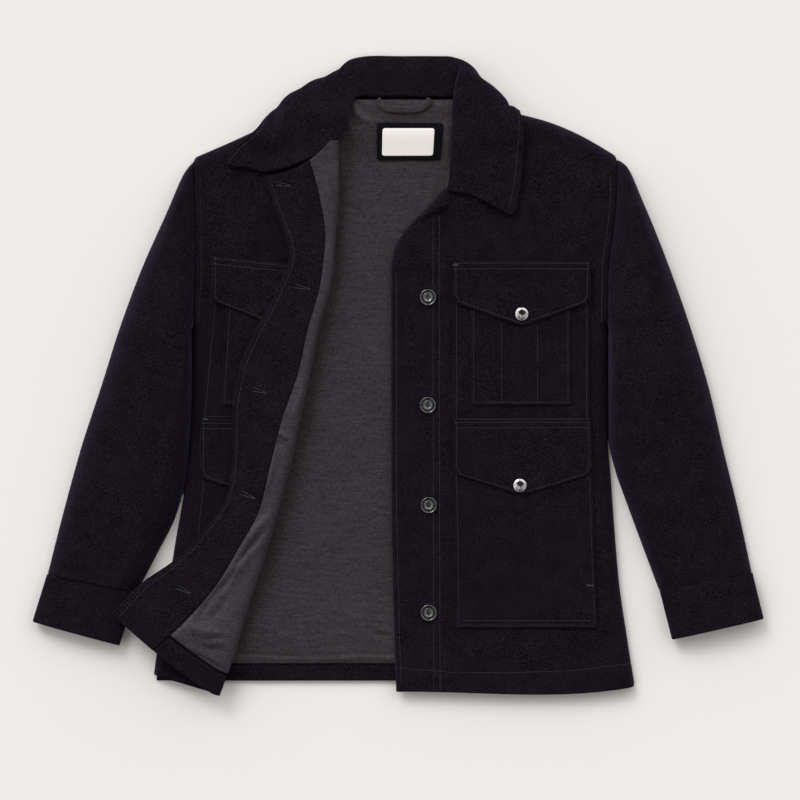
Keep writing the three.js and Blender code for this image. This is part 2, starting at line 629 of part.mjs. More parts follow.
// The pieces sewn on each front, from the panel outwards: corners in plan, clockwise from the upper left.
const leftPieces = [
  { name: "chest_panel", level: 1, corners: [[66, 137], [230, 137], [230, -52], [66, -52]] },
  { name: "chest_pocket", level: 2, corners: [[87, 120], [207, 120], [207, -35], [87, -35]] },
  { name: "chest_flap", level: 3, corners: [[66, 137], [230, 137], [230, 89], [148, 59], [66, 89]] },
  { name: "lower_pocket", level: 1, corners: [[67, -55], [231, -55], [239, -302], [70, -302]] },
  { name: "lower_flap", level: 2, corners: [[67, -55], [231, -55], [232, -118], [148, -144], [67, -118]] },
];
// Those of the right front are cut off where the fold begins: the rest lies inside it.
const rightPieces = [
  { name: "chest_panel", level: 1, corners: [[-222, 141], [-98, 129], [-145, -52], [-235, -52]] },
  { name: "chest_pocket", level: 2, corners: [[-204, 120], [-104, 112], [-142, -35], [-212, -35]] },
  { name: "chest_flap", level: 3, corners: [[-221, 143], [-99, 130], [-104, 76], [-143, 58], [-223, 91]] },
  { name: "lower_pocket", level: 1, corners: [[-236, -57], [-147, -57], [-210, -300], [-253, -300]] },
  {
    name: "lower_flap",
    level: 2,
    corners: [[-236, -57], [-147, -57], [-154, -145], [-160, -147], [-237, -124]],
  },
];
function pieces(side, height, list) {
  for (const { name, level, corners } of list) {
    const pointed = corners.length === 5;
    const surface = (pointed ? flap : patch)(height, layer(level) + (pointed ? FLAP_EASE : 0), corners);
    clothWall(side + "_" + name, navyWool, surface, steps(0, 1, 6), steps(0, 1, pointed ? 3 : 6), WOOL);
  }
}
pieces("left", leftHeight, leftPieces);
pieces("right", rightHeight, rightPieces);

// Collar

// Sections of the collar from the right front's end round the back to the left front's end. Each runs from
// the neck seam up the stand, over the roll and down the fall: points between its two layers.
const collarSections = [
  [
    [-157.5, 244.5, 20], [-165, 245.5, 18.5], [-172, 247.5, 17], [-180, 249.5, 15],
    [-187, 250.5, 15], [-194, 251, 14], [-201, 252.5, 14], [-207, 257.5, 14],
  ],
  [
    [-133, 249.5, 24], [-142, 252, 22], [-151, 256.5, 19], [-159, 260.5, 16],
    [-168, 264, 15], [-177, 267, 14], [-186, 270, 14], [-195, 273, 14],
  ],
  [
    [-107, 262, 25], [-115.5, 265.5, 23], [-124.5, 270.5, 20.5], [-134, 276, 18],
    [-143, 280, 17], [-152, 285, 17], [-161, 290, 17], [-170, 295, 15],
  ],
  [
    [-92, 273.5, 25], [-102, 279, 23], [-113.5, 288, 20.5], [-126, 297, 19],
    [-138, 305, 18], [-147, 311, 15.5], [-152, 314, 11.5], [-153.5, 312, 7],
  ],
  [
    [-73, 291, 24], [-83, 299, 22], [-97, 312, 20], [-111, 324, 19],
    [-124, 333, 17], [-131, 335.5, 10], [-124, 328, 3.4], [-113, 316, 2.65],
  ],
  [
    [-59.5, 307, 21], [-72, 321, 20], [-84, 336, 19], [-95, 348.5, 16],
    [-101, 353, 9.5], [-95, 346, 3.4], [-86, 331, 2.65], [-74, 311, 2.65],
  ],
  [
    [-56, 324, 16.5], [-64, 340, 16.5], [-74, 358, 15], [-77, 363, 8],
    [-73, 357, 3], [-67, 343, 2.65], [-61, 326, 2.65], [-55, 307, 2.65],
  ],
  [
    [-48, 335.5, 11], [-54, 362, 10.5], [-60, 376, 6.5], [-56, 370, 2.65],
    [-51, 355, 2.65], [-46, 340, 2.65], [-43, 320, 2.65], [-39, 300, 2.65],
  ],
  [
    [-33, 335.5, 9.4], [-38, 368, 9], [-41, 381.6, 5.8], [-38, 374, 2.65],
    [-35, 358, 2.65], [-32, 340, 2.65], [-30, 320, 2.65], [-28, 299, 2.65],
  ],
  [
    [5, 335.5, 9], [5, 370, 8.8], [5, 382, 5.7], [5, 374, 2.65],
    [5, 358, 2.65], [5, 340, 2.65], [5, 320, 2.65], [5, 299, 2.65],
  ],
  [
    [45, 335.5, 9], [45, 370, 9], [45, 382, 5.8], [45, 374, 2.65],
    [45, 358, 2.65], [45, 340, 2.65], [45, 320, 2.65], [45, 299, 2.65],
  ],
  [
    [68, 335.5, 9.6], [65, 368, 11], [65, 381, 8], [66, 374, 3],
    [64, 358, 2.65], [62, 341, 2.65], [60, 321, 2.65], [58, 300, 2.65],
  ],
  [
    [81, 335.5, 10.5], [79, 353, 14.5], [77.5, 373.5, 18.5], [86, 371, 15.5],
    [91, 364, 9], [86, 355, 3.4], [80, 340, 2.65], [75, 302, 2.65],
  ],
  [
    [90, 337, 9], [84, 345.5, 16.5], [74, 361, 20.5], [84, 362, 25],
    [97, 356, 22], [104, 350, 10], [98, 340, 3.2], [88, 304, 2.65],
  ],
  [
    [97, 333, 10], [87, 337, 17], [70.5, 348, 20], [84, 349, 25.5],
    [106, 345, 25], [119, 340, 13], [114, 332, 3.6], [103, 307, 2.65],
  ],
  [
    [95.5, 317, 15.5], [84, 321, 16.5], [68, 330, 20], [84, 332, 26],
    [112, 330, 25.5], [133, 330, 15], [132, 325.5, 6], [127.5, 322, 2.9],
  ],
  [
    [94.8, 309, 18.3], [81, 312, 15.3], [67, 319, 19.3], [83, 320, 25.8],
    [109, 320, 26], [127, 321.5, 24.5], [139.5, 324, 20.5], [147.5, 320, 15],
  ],
  [
    [94, 301, 18.6], [81, 303, 15], [66.5, 307, 19], [82, 308, 25],
    [106, 308, 25], [128, 308, 23], [140, 306, 21.5], [149, 301.5, 21],
  ],
  [
    [90, 280, 17], [78, 281, 14], [65.5, 283, 17], [80, 284, 22.5],
    [100, 284, 22], [122, 285, 21], [138, 285, 20], [150, 285, 19],
  ],
  [
    [85, 259.5, 13.6], [75, 260, 12], [64.5, 262, 15], [79, 262, 20],
    [98, 263, 19.5], [118, 263, 19], [135, 263, 18], [149.5, 262, 18],
  ],
  [
    [77.5, 243, 13.5], [70, 242, 12.6], [63.5, 242, 15.5], [76, 241, 19.6],
    [94, 240, 19], [114, 239, 18.5], [132, 238, 18], [147.5, 237, 18],
  ],
  [
    [68.5, 230.5, 13.6], [65.5, 228.5, 14.4], [62.5, 225, 18], [72, 221, 20],
    [89, 216.5, 20.5], [106, 208, 20], [123, 198.5, 19], [140, 190.5, 18],
  ],
];
const sectionParts = ["seam", "stand", "roll", "fall", "bend", "turn", "tuck", "edge"];
const COLLAR_REST = 6.6; // from the middle of a front to the middle of the collar lying on it
const COLLAR_BED = 2.65; // the collar's middle where it lies on the surface
const LYING_Z = 11; // a section's points above this lie over a front
const LEAF_X = 90; // the left leaf rests on the front outside this

// Lets no part of the collar sink into the front that it lies on.
function onFronts(part, [x, y, z]) {
  const height = x > 0 ? leftHeight : rightHeight;
  const below = Math.max(height(x, y), height(x, y - CURL / 2));
  const free = part === "seam" || (x > 0 && (part === "stand" || part === "roll" || x < LEAF_X));
  return z > LYING_Z && !free && y < shoulderLine(x).y + 2 ? Math.max(z, below + COLLAR_REST) : z;
}
const collarLines = sectionParts.map(
  (part, i) =>
    new THREE.CatmullRomCurve3(
      collarSections.map((section) => {
        const [x, y] = section[i];
        return new THREE.Vector3(x, y, onFronts(part, section[i]));
      }),
      false,
      "centripetal",
    ),
);
// u runs from the neck seam to the edge and v from the right front round to the left front.
function collar(u, v) {
  const points = collarLines.map((line) => line.getPoint(v));
  const p = new THREE.CatmullRomCurve3(points, false, "centripetal").getPoint(u);
  p.z = Math.max(p.z, COLLAR_BED);
  return p;
}
const collarLayer = COLLAR_WOOL / 2 + SEAM_GAP;
const collarColumns = [0, 0.14, 0.22, 0.285, 0.35, 0.43, 0.57, 0.65, 0.715, 0.78, 0.86, 1];
const collarRows = steps(0, 1, 33);
const lining = moved(collar, -collarLayer, whole);
const outside = moved(collar, collarLayer, whole);
// The crest of the fall crosses the cells one way on the right leaf and the other way on the left one.
const crossed = (v) => v < 0.5;
clothWall("collar_top", navyWool, outside, collarColumns, collarRows, COLLAR_WOOL, { crossed });
// At the tight turns by the shoulder the under collar is trimmed clear of the top collar.
const SKIN = 0.05;
const collarSolid = (surface, thickness) =>
  solidOf(wallGeometry(surface, collarColumns, collarRows, thickness, { crossed }));
const topWithGap = collarSolid(outside, COLLAR_WOOL + SEAM_GAP);
const topWithSkin = collarSolid(outside, COLLAR_WOOL + SKIN);
const underCollar = collarSolid(lining, COLLAR_WOOL).subtract(topWithGap).subtract(topWithSkin);
add("collar_under", geometryOf(underCollar), navyWool);

// Buttons and snaps

function button(name, x, y) {
  const { radius, height, rimWidth, dish, hole, holeReach } = BUTTON;
  const profile = [
    [0, 0],
    [radius - 1, 0],
    [radius, 1.2],
    [radius, height - 0.7],
    [radius - rimWidth / 2, height],
    [radius - rimWidth, height - dish],
    [0, height - dish],
  ].map(([r, z]) => new THREE.Vector2(r, z));
  const disc = new THREE.LatheGeometry(profile, 16).rotateX(Math.PI / 2);
  let body = solidOf(disc);
  for (let i = 0; i < 4; i++) {
    const angle = Math.PI / 4 + (i * Math.PI) / 2;
    const cutter = wasm.Manifold.cylinder(height * 3, hole, hole, 6, true);
    body = body.subtract(cutter.translate([holeReach * Math.cos(angle), holeReach * Math.sin(angle), 0]));
  }
  addSeated(name, geometryOf(body), blackPlastic, x, y, leftHeight, SEAM_GAP);
}

function solidOf(geometry) {
  const merged = mergeVertices(geometry.deleteAttribute("uv").deleteAttribute("normal"), 1e-4);
  const vertProperties = merged.attributes.position.array;
  const triVerts = new Uint32Array(merged.index.array);
  return new wasm.Manifold(new wasm.Mesh({ numProp: 3, vertProperties, triVerts }));
}

function geometryOf(body) {
  const mesh = body.getMesh();
  const geometry = new THREE.BufferGeometry();
  geometry.setAttribute("position", new THREE.BufferAttribute(new Float32Array(mesh.vertProperties), 3));
  geometry.setIndex(new THREE.BufferAttribute(new Uint32Array(mesh.triVerts), 1));
  return geometry;
}

// Seats a fitting on a panel: its base lies one gap above the panel's outer face, square to it.
function addSeated(name, geometry, material, x, y, height, lift) {
  const at = (dx, dy) => new THREE.Vector3(x + dx, y + dy, height(x + dx, y + dy));
  const normal = at(4, 0).sub(at(-4, 0)).cross(at(0, 4).sub(at(0, -4))).normalize();
  const turn = new THREE.Quaternion().setFromUnitVectors(new THREE.Vector3(0, 0, 1), normal);
  geometry.applyQuaternion(turn);
  const base = at(0, 0).addScaledVector(normal, WOOL / 2 + lift + SEAM_GAP);
  geometry.translate(base.x, base.y, base.z);
  geometry.computeVertexNormals();
  add(name, geometry, material);
}

const buttonPlaces = [
  [36, 94],
  [36, -35],
  [37, -155],
  [37, -284],
];
buttonPlaces.forEach(([x, y], i) => button("button_" + (i + 1), x, y));

function snap(name, x, y, height, lift) {
  const profile = [
    [0, 0],
    [SNAP.radius, 0],
    [SNAP.radius, 0.8],
    [SNAP.radius - 1, 1.9],
    [SNAP.radius - 3.2, SNAP.height - 0.5],
    [0, SNAP.height],
  ].map(([r, z]) => new THREE.Vector2(r, z));
  const cap = solidOf(new THREE.LatheGeometry(profile, 20).rotateX(Math.PI / 2));
  addSeated(name, geometryOf(cap), darkMetal, x, y, height, lift);
}
snap("snap_chest", 148, 74, leftHeight, layer(3));
snap("snap_lower", 146, -131, leftHeight, layer(2));

// The origin is the middle of the garment's box, on the surface.
const extent = new THREE.Box3().setFromObject(garment);
garment.position.set(-(extent.min.x + extent.max.x) / 2, -(extent.min.y + extent.max.y) / 2, -extent.min.z);

export default garment;
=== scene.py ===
import math
from functools import reduce
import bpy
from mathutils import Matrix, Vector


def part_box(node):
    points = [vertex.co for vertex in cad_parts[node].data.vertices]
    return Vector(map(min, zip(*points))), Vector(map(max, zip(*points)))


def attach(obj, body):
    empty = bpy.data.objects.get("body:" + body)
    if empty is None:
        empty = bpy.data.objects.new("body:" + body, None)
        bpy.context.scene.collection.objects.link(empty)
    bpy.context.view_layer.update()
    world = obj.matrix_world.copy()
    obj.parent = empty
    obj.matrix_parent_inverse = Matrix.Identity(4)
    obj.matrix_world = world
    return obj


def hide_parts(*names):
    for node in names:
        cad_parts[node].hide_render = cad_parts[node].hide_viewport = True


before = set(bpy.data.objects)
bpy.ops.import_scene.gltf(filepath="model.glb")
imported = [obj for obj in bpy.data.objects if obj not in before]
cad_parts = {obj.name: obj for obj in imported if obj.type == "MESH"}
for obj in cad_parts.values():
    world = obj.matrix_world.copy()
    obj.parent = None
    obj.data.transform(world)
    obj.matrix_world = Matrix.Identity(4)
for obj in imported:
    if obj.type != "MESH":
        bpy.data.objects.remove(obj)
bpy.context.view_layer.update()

from types import SimpleNamespace

import bpy
import numpy as np
from mathutils import Vector

# Sizes
WOOL = 2.6
COLLAR_WOOL = 2.0
LINING = 1.0
LINING_EASE = 0.5
TAPE = 1.2
LABEL = 0.6
GAP = 0.3
SEAM_Z = 0.5
SEAM_INSET = 2.9
CURL = 11
LEFT_LEVEL = 13.5
LEFT_EDGE_LEVEL = 11.6
RIGHT_LEVEL = 10.5
COLLAR_LIFT = 6.3
ARMPIT_Y = 60
BACK_HEM_Y = -366
LINING_HEM_Y = -345
HEM_DEPTH = 27
HEM_TURN_UP = HEM_DEPTH * 1.4
HEM_BOW = 7
BOW_PEAK = 4 / 27
NECK_Y = 334
SHOULDER_TIPS = (-245, 262)
TOP_REACH = 0.14
SHOULDER_REACH = 0.05
EDGE_SETBACK = 0.03
HEM_SHARE = 0.96
HEM_SEAM = 0.003
FACING_SEAM = 0.006
ARMHOLE_GAP = 0.3
CUFF_SQUARENESS = 2.8
FLAP_EASE = 0.2
COLLAR_REST = 6.6
COLLAR_BED = 2.65
LYING_Z = 11
SNAP_PLACE = (148, 74)
STITCH = 1.8
STITCH_PITCH = 3.0
THREAD_RADIUS = 0.27
THREAD_SINK = 0.42
STITCH_DIP = 1.7
RIM = 2.0

low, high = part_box("snap_chest")
SHIFT = np.array([500 * (low.x + high.x) - SNAP_PLACE[0], 500 * (low.y + high.y) - SNAP_PLACE[1], 0.0])


# Small helpers


def lerp(a, b, t):
    return a + (b - a) * t


def smooth(value, start, end):
    t = np.clip((value - start) / (end - start), 0, 1)
    return t * t * (3 - 2 * t)


def fade(value, start, end):
    return 1 - smooth(value, start, end)


def layer(count):
    return count * (WOOL + GAP)


def quarter_round(distance, radius):
    return np.sqrt(1 - (1 - np.clip(distance / radius, 0, 1)) ** 2)


def stack(x, y, z):
    return np.stack(np.broadcast_arrays(x, y, z), axis=-1).astype(float)


def unit(v):
    return v / np.maximum(np.linalg.norm(v, axis=-1, keepdims=True), 1e-9)


def reader(header, rows):
    """Reads the table at a value of its first column: the others as smooth curves that never overshoot."""
    names = header.split()
    data = np.array(rows, float)
    keys, columns = data[:, 0], data[:, 1:]
    rise = np.diff(columns, axis=0) / np.diff(keys)[:, None]
    slopes = np.zeros_like(columns)
    slopes[0], slopes[-1] = rise[0], rise[-1]
    before, after = rise[:-1], rise[1:]
    same = before * after > 0
    slopes[1:-1] = np.where(same, 2 * before * after / np.where(same, before + after, 1), 0)

    def read(value):
        value = np.asarray(value, float)
        i = np.clip(np.searchsorted(keys, value) - 1, 0, len(keys) - 2)
        step = (keys[i + 1] - keys[i])[..., None]
        t = np.clip((value[..., None] - keys[i][..., None]) / step, 0, 1)
        bend = t * t * (3 - 2 * t)
        found = lerp(columns[i], columns[i + 1], bend)
        found = found + t * (1 - t) ** 2 * slopes[i] * step - t * t * (1 - t) * slopes[i + 1] * step
        return SimpleNamespace(**{name: found[..., k] for k, name in enumerate(names[1:])})

    return read


def catmull(points, t):
    """Centripetal spline through points[k], at t from 0 to 1; the points may be arrays of any shape."""
    count = len(points)
    place = np.asarray(t, float) * (count - 1)
    i = np.clip(np.floor(place).astype(int), 0, count - 2)
    weight = place - i
    padded = np.concatenate([[2 * points[0] - points[1]], points, [2 * points[-1] - points[-2]]])
    p0, p1, p2, p3 = (padded[i + k] for k in range(4))

    def gap(a, b):
        return np.sum((a - b) ** 2, axis=-1, keepdims=True) ** 0.25

    d0, d1, d2 = gap(p0, p1), gap(p1, p2), gap(p2, p3)
    d1 = np.where(d1 < 1e-4, 1.0, d1)
    d0 = np.where(d0 < 1e-4, d1, d0)
    d2 = np.where(d2 < 1e-4, d1, d2)
    t1 = ((p1 - p0) / d0 - (p2 - p0) / (d0 + d1) + (p2 - p1) / d1) * d1
    t2 = ((p2 - p1) / d1 - (p3 - p1) / (d1 + d2) + (p3 - p2) / d2) * d1
    w = weight.reshape(weight.shape + (1,) * (p1.ndim - weight.ndim))
    return p1 + t1 * w + (3 * (p2 - p1) - 2 * t1 - t2) * w**2 + (2 * (p1 - p2) + t1 + t2) * w**3


def creases(x, y, rows):
    """Soft ridges in plan (troughs where the height is negative): from x, y, to x, y, half width, height."""
    z = np.zeros(np.broadcast(x, y).shape)
    for x0, y0, x1, y1, width, height in rows:
        dx, dy = x1 - x0, y1 - y0
        length = math.hypot(dx, dy)
        along = ((x - x0) * dx + (y - y0) * dy) / length**2
        bow = 0.06 * length * np.sin(np.pi * np.clip(along, 0, 1))
        across = ((x - x0) * dy - (y - y0) * dx) / length + bow
        taper = np.clip(4 * along * (1 - along), 0, 1)
        z = z + height * taper * np.exp(-((across / width) ** 2))
    return z


def drift(x, y, size, height, phase=0.0):
    """Slow uneven rise and fall of cloth that has settled."""
    a = np.sin(x / size + phase + 0.7 * np.sin(y / size * 0.8 + phase))
    b = np.sin(y / size * 1.3 + 1.7 * phase + 0.9 * np.sin(x / size * 0.6))
    return height * 0.5 * (a * b + 0.5 * np.sin((x + y) / size * 0.53 + phase))


# Outline of the body

body_sides = reader("down left right", [
    (-262, -245, 262), (-206, -244, 261), (-169, -243, 257), (-130, -243, 252), (-60, -246, 251),
    (0, -246, 251), (73, -248, 251), (128, -254, 255), (197, -266, 260), (252, -275, 265), (307, -285, 273),
    (370, -294, 283),
])
shoulder_line = reader("x y", [
    (-245, 261), (-208, 277), (-150, 303), (-88, 331), (-60, 334), (72, 334), (98, 328.5), (122, 318.5),
    (144, 313.5), (175, 306), (209, 293), (240, 276.5), (262, 263),
])
LEFT_CREASES = [
    (246, 60, 120, 150, 16, 1), (250, 10, 150, 60, 14, -0.9), (240, 210, 170, 150, 20, 1.1),
    (120, 290, 60, 150, 16, 0.9), (20, 120, 60, -60, 13, 0.7), (20, -60, 28, -330, 12, -0.7),
    (250, -120, 236, -340, 16, 1.1), (60, -330, 210, -345, 12, 0.9), (120, -370, 160, -310, 14, -0.7),
]
RIGHT_CREASES = [
    (-235, 80, -150, 200, 16, 1), (-240, 20, -170, 100, 13, -0.8), (-215, 240, -150, 190, 18, 0.9),
    (-245, -140, -200, -20, 14, 0.8), (-275, -330, -240, -170, 14, 1),
]


def collar_lift(x, y):
    return COLLAR_LIFT * smooth(x, -200, -155) * fade(x, 140, 185) * smooth(y, 255, 297)


def front_height(x, y, level, rows, phase):
    sides = body_sides(-y)
    inward = np.minimum(sides.right - x, x - sides.left)
    opening = np.maximum(0, y - ARMPIT_Y)
    below = (shoulder_line(x).y - y) * 0.9
    share = quarter_round(inward + opening, CURL) * quarter_round(below, CURL)
    settled = creases(x, y, rows) + drift(x, y, 46, 0.9, phase)
    calm = smooth(np.minimum(inward + opening, below), 2, 30)
    return SEAM_Z + (level - SEAM_Z) * share + collar_lift(x, y) + settled * calm


# The rolled edge of the neckline on the left front: x and y of the line that it ends on
NECK_ROLL = np.array([(20, 181.5), (23, 184), (32.4, 190), (44.4, 195.6), (55, 200), (60, 204), (61, 222)])


def neck_roll(x, y):
    line = np.interp(x, NECK_ROLL[:, 0], NECK_ROLL[:, 1])
    step = 4.2 * smooth(y - line, -0.6, 1.4) - 1.8 * np.exp(-(((y - line + 2.2) / 1.8) ** 2))
    return step * smooth(x, 19, 25) * fade(x, 59.5, 61.5)


def left_height(x, y):
    edge = lerp(LEFT_EDGE_LEVEL, LEFT_LEVEL, smooth(x, -7, 90))
    level = lerp(edge, LEFT_LEVEL + 1, smooth(y, 112, 140))
    return front_height(x, y, level, LEFT_CREASES, 0.4) + neck_roll(x, y)


def right_height(x, y):
    return front_height(x, y, RIGHT_LEVEL, RIGHT_CREASES, 2.1)


def on_panel(height, lift):
    """A point of the layer that lies lift over a panel's middle, with its normal, for a point in plan."""

    def place(x, y):
        d = 0.5
        slope_x = (height(x + d, y) - height(x - d, y)) / (2 * d)
        slope_y = (height(x, y + d) - height(x, y - d)) / (2 * d)
        normal = unit(stack(-slope_x, -slope_y, np.ones_like(slope_x)))
        return stack(x, y, height(x, y)) + normal * lift, normal

    return place


# Surfaces: functions of u and v that give the middle of a wall


def normal_of(surface, u, v, u_span, v_span):
    du, dv = (u_span[1] - u_span[0]) * 5e-4, (v_span[1] - v_span[0]) * 5e-4
    along = surface(np.minimum(u + du, u_span[1]), v) - surface(np.maximum(u - du, u_span[0]), v)
    down = surface(u, np.minimum(v + dv, v_span[1])) - surface(u, np.maximum(v - dv, v_span[0]))
    return unit(np.cross(down, along))


def moved(surface, lift, u_span=(0, 1), v_span=(0, 1)):
    return lambda u, v: surface(u, v) + normal_of(surface, u, v, u_span, v_span) * lift


def corner_pull(p, q, radius):
    return (p - p * np.sqrt(1 - q * q / 2)) * radius


def round_corners(u, v, width, length, radius):
    """Pulls the corners of a sheet's own square in, so that they end in arcs of the radius."""
    p = np.clip(1 - np.minimum(u, 1 - u) * width / radius, 0, 1)
    q = np.clip(1 - np.minimum(v, 1 - v) * length / radius, 0, 1)
    in_u, in_v = corner_pull(p, q, radius) / width, corner_pull(q, p, radius) / length
    return np.where(u < 0.5, u + in_u, u - in_u), np.where(v < 0.5, v + in_v, v - in_v)


def patch(height, lift, corners, radius=3.0):
    a, b, c, d = (np.array(p, float) for p in corners)
    place = on_panel(height, lift)
    width, length = np.linalg.norm(b - a), np.linalg.norm(d - a)

    def surface(u, v):
        u, v = np.broadcast_arrays(u, v)
        u, v = round_corners(u, v, width, length, radius)
        p = lerp(lerp(a, b, u[..., None]), lerp(d, c, u[..., None]), v[..., None])
        return place(p[..., 0], p[..., 1])[0]

    return surface


def flap(height, lift, corners, clip=8.0):
    """A pocket flap: its lower corners are clipped and it runs down to a blunt point."""
    upper_left, upper_right, lower_right, point, lower_left = (np.array(p, float) for p in corners)
    place = on_panel(height, lift)
    share = (point[0] - lower_left[0]) / (lower_right[0] - lower_left[0])
    width = lower_right[0] - lower_left[0]

    def surface(u, v):
        u, v = np.broadcast_arrays(u, v)
        left_part = (u < share)[..., None]
        edge = np.where(
            left_part,
            lerp(lower_left, point, np.clip(u / share, 0, 1)[..., None]),
            lerp(point, lower_right, np.clip((u - share) / max(1 - share, 1e-6), 0, 1)[..., None]),
        )
        side = np.minimum(u, 1 - u) * abs(width)
        lift_y = clip * (1 - np.clip(side / (0.6 * clip), 0, 1)) * 0.9
        blunt = 1.6 * np.exp(-(((u - share) * width / 5) ** 2))
        edge = edge + stack(0 * u, lift_y + blunt, 0 * u)[..., :2]
        p = lerp(lerp(upper_left, upper_right, u[..., None]), edge, v[..., None])
        return place(p[..., 0], p[..., 1])[0]

    return surface


def back_surface(u, v):
    top = shoulder_line(lerp(*SHOULDER_TIPS, u)).y - SEAM_INSET
    y = lerp(top, BACK_HEM_Y, v)
    sides = body_sides(-y)
    # Below the armpits it reaches out to the sleeves, as far down as they touch the body.
    reach = fade(y, 58, 68) * (SEAM_INSET + 2.6)
    left = sides.left + SEAM_INSET - reach * smooth(y, -155, -140)
    x = lerp(left, sides.right - SEAM_INSET + reach * smooth(y, -88, -74), u)
    return stack(x, y, WOOL / 2 + collar_lift(x, y))


lining_sides = reader("down left right", [
    (-334, -60, 74), (-300, -100, 118), (-220, -120, 100), (-110, -130, 50), (0, -155, 40), (150, -200, 40),
    (345, -255, 40),
])
LINING_CREASES = [
    (-62, 332, -42, 306, 3, 2.4), (-55, 332, -36, 310, 2, -1.6), (-58, 318, -34, 300, 3, 2.2),
    (-66, 312, -48, 268, 4.5, 2.2), (-58, 300, -40, 262, 3.5, -1.4), (-84, 290, -66, 240, 5, 2),
    (-28, 311, 40, 311, 3, 1.4), (-40, 312, -26, 296, 3, 1.6), (44, 330, 62, 312, 3.5, 2.2),
    (50, 316, 64, 290, 3, -1.2), (58, 312, 57, 250, 3, 2.2), (66, 290, 56, 210, 3.5, 2),
    (44, 244, 30, 190, 5, 1.4), (-20, 250, 30, 180, 14, 1.2), (-70, 190, -30, 100, 20, 1.4),
    (-50, 60, -15, -60, 24, 1.6), (-100, -30, -64, -140, 18, 1.4), (-140, -150, -90, -250, 20, 1.5),
    (-60, -120, -20, -260, 22, 1.3), (-130, 20, -60, 90, 16, 1.2), (-150, -40, -90, 40, 14, -1),
    (-170, -200, -110, -90, 16, 1.2), (-120, -270, -30, -180, 18, -1.1), (-90, -290, -20, -300, 10, 0.7),
    (-200, -322, -100, -318, 4, 0.5), (-110, -330, -10, -326, 3, -0.9), (-40, -311, -6, -313, 1.8, -1.5),
    (-30, -305, -6, -307, 2, 0.9),
]


def back_lining(u, v):
    y = lerp(331.5, LINING_HEM_Y, v)
    sides = lining_sides(-y)
    x = lerp(sides.left, sides.right, u)
    hem = -BACK_HEM_Y - HEM_TURN_UP
    on_hem = smooth(-y, hem - 90, hem - 3)
    # It puffs a little over its lower fold and keeps clear of the fronts that lie over it.
    puff = creases(x, y, LINING_CREASES) + drift(x, y, 30, 0.9, 1.0) + 0.9
    low_edge = -y - 340 - 1.5 * np.sin(x / 23)
    puff = puff + 0.6 * np.exp(-((low_edge / 3.5) ** 2)) - 1.4 * np.exp(-(((low_edge + 5) / 1.9) ** 2))
    clear = smooth(y, -345, -339) * fade(y, 324, 331)
    patched = smooth(x, -34, -26) * fade(x, 54, 62) * smooth(y, 250, 258) * fade(y, 304, 312)
    puff = np.clip(puff, -0.4, lerp(4.0, 0.9, patched)) * clear
    return stack(x, y, WOOL + GAP + LINING_EASE + LINING / 2 + collar_lift(x, y) + on_hem * layer(1) + puff)


def lining_top(x, y):
    return WOOL + GAP + LINING_EASE + LINING + collar_lift(x, y) + 1.4 + 0 * x


left_rows = reader("v edge_x edge_y side_y tuck round", [
    (0, 100, 330, 262, 1.2, 1.6), (0.03, 100, 316, 240, 1.2, 1.6), (0.06, 100.4, 300, 218, 1.2, 1.6),
    (0.1, 95, 279, 192, 1.2, 1.6), (0.14, 88.5, 258, 168, 1.2, 1.6), (0.17, 80, 241, 150, 1.2, 1.6),
    (0.2, 66, 230, 132, 1.2, 3), (0.215, 57, 225, 123, 50, 4), (0.25, 42, 208, 105, 44, 4),
    (0.285, 28, 194, 90, 32, 4), (0.32, 11.5, 177, 74, 20, 4), (0.35, 1.5, 162.5, 60, 11, 4),
    (0.385, -5, 145.5, 40, 5, 3.4), (0.42, -7, 127, 18, 1.2, 2.2), (0.56, -7, 10, -75, 1.2, 1.6),
    (0.7, -7, -110, -160, 1.2, 1.6), (0.85, -5, -243, -257, 1.2, 1.6), (1, -1, -379, -373, 1.2, 1.6),
])


def left_front(u, v):
    u, v = np.broadcast_arrays(u, v)
    row = left_rows(v)
    side_x = body_sides(-row.side_y).right
    quarter = row.round * np.pi / 2
    width = side_x - row.edge_x
    turned = np.minimum(row.tuck * 0.5, quarter)
    arc = lerp(0, quarter, np.clip(u * 2 - 1, 0, 1))
    arc = np.where(u < 0.5, lerp(-turned, 0, np.clip(u * 4 - 1, 0, 1)), arc)
    arc = np.where(u < 0.25, lerp(-row.tuck, -turned, np.clip(u * 4, 0, 1)), arc)
    angle = np.maximum(arc, -quarter) / row.round
    far = width - CURL * (1 - np.cos((3 - u) * np.pi / 2))
    along = np.where(u < 2, lerp(row.round, width - CURL, u - 1), far)
    along = np.where(u < 1, row.round * (1 - np.cos(angle)) + np.maximum(0, -arc - quarter), along)
    drop = np.where(u < 1, row.round * (1 - np.sin(angle)), 0)
    share = along / width
    bow = HEM_BOW / BOW_PEAK * share**2 * (1 - share) * smooth(v, 0.55, 1)
    x = row.edge_x + along
    y = lerp(row.edge_y, row.side_y, share) - bow
    to_shoulder = (shoulder_line(x).y - lerp(330, 262, share)) * smooth(share, 0, 0.1)
    bend = np.clip(1 - v / SHOULDER_REACH, 0, 1) * to_shoulder
    return stack(x, y + bend, left_height(x, y + bend) - drop)


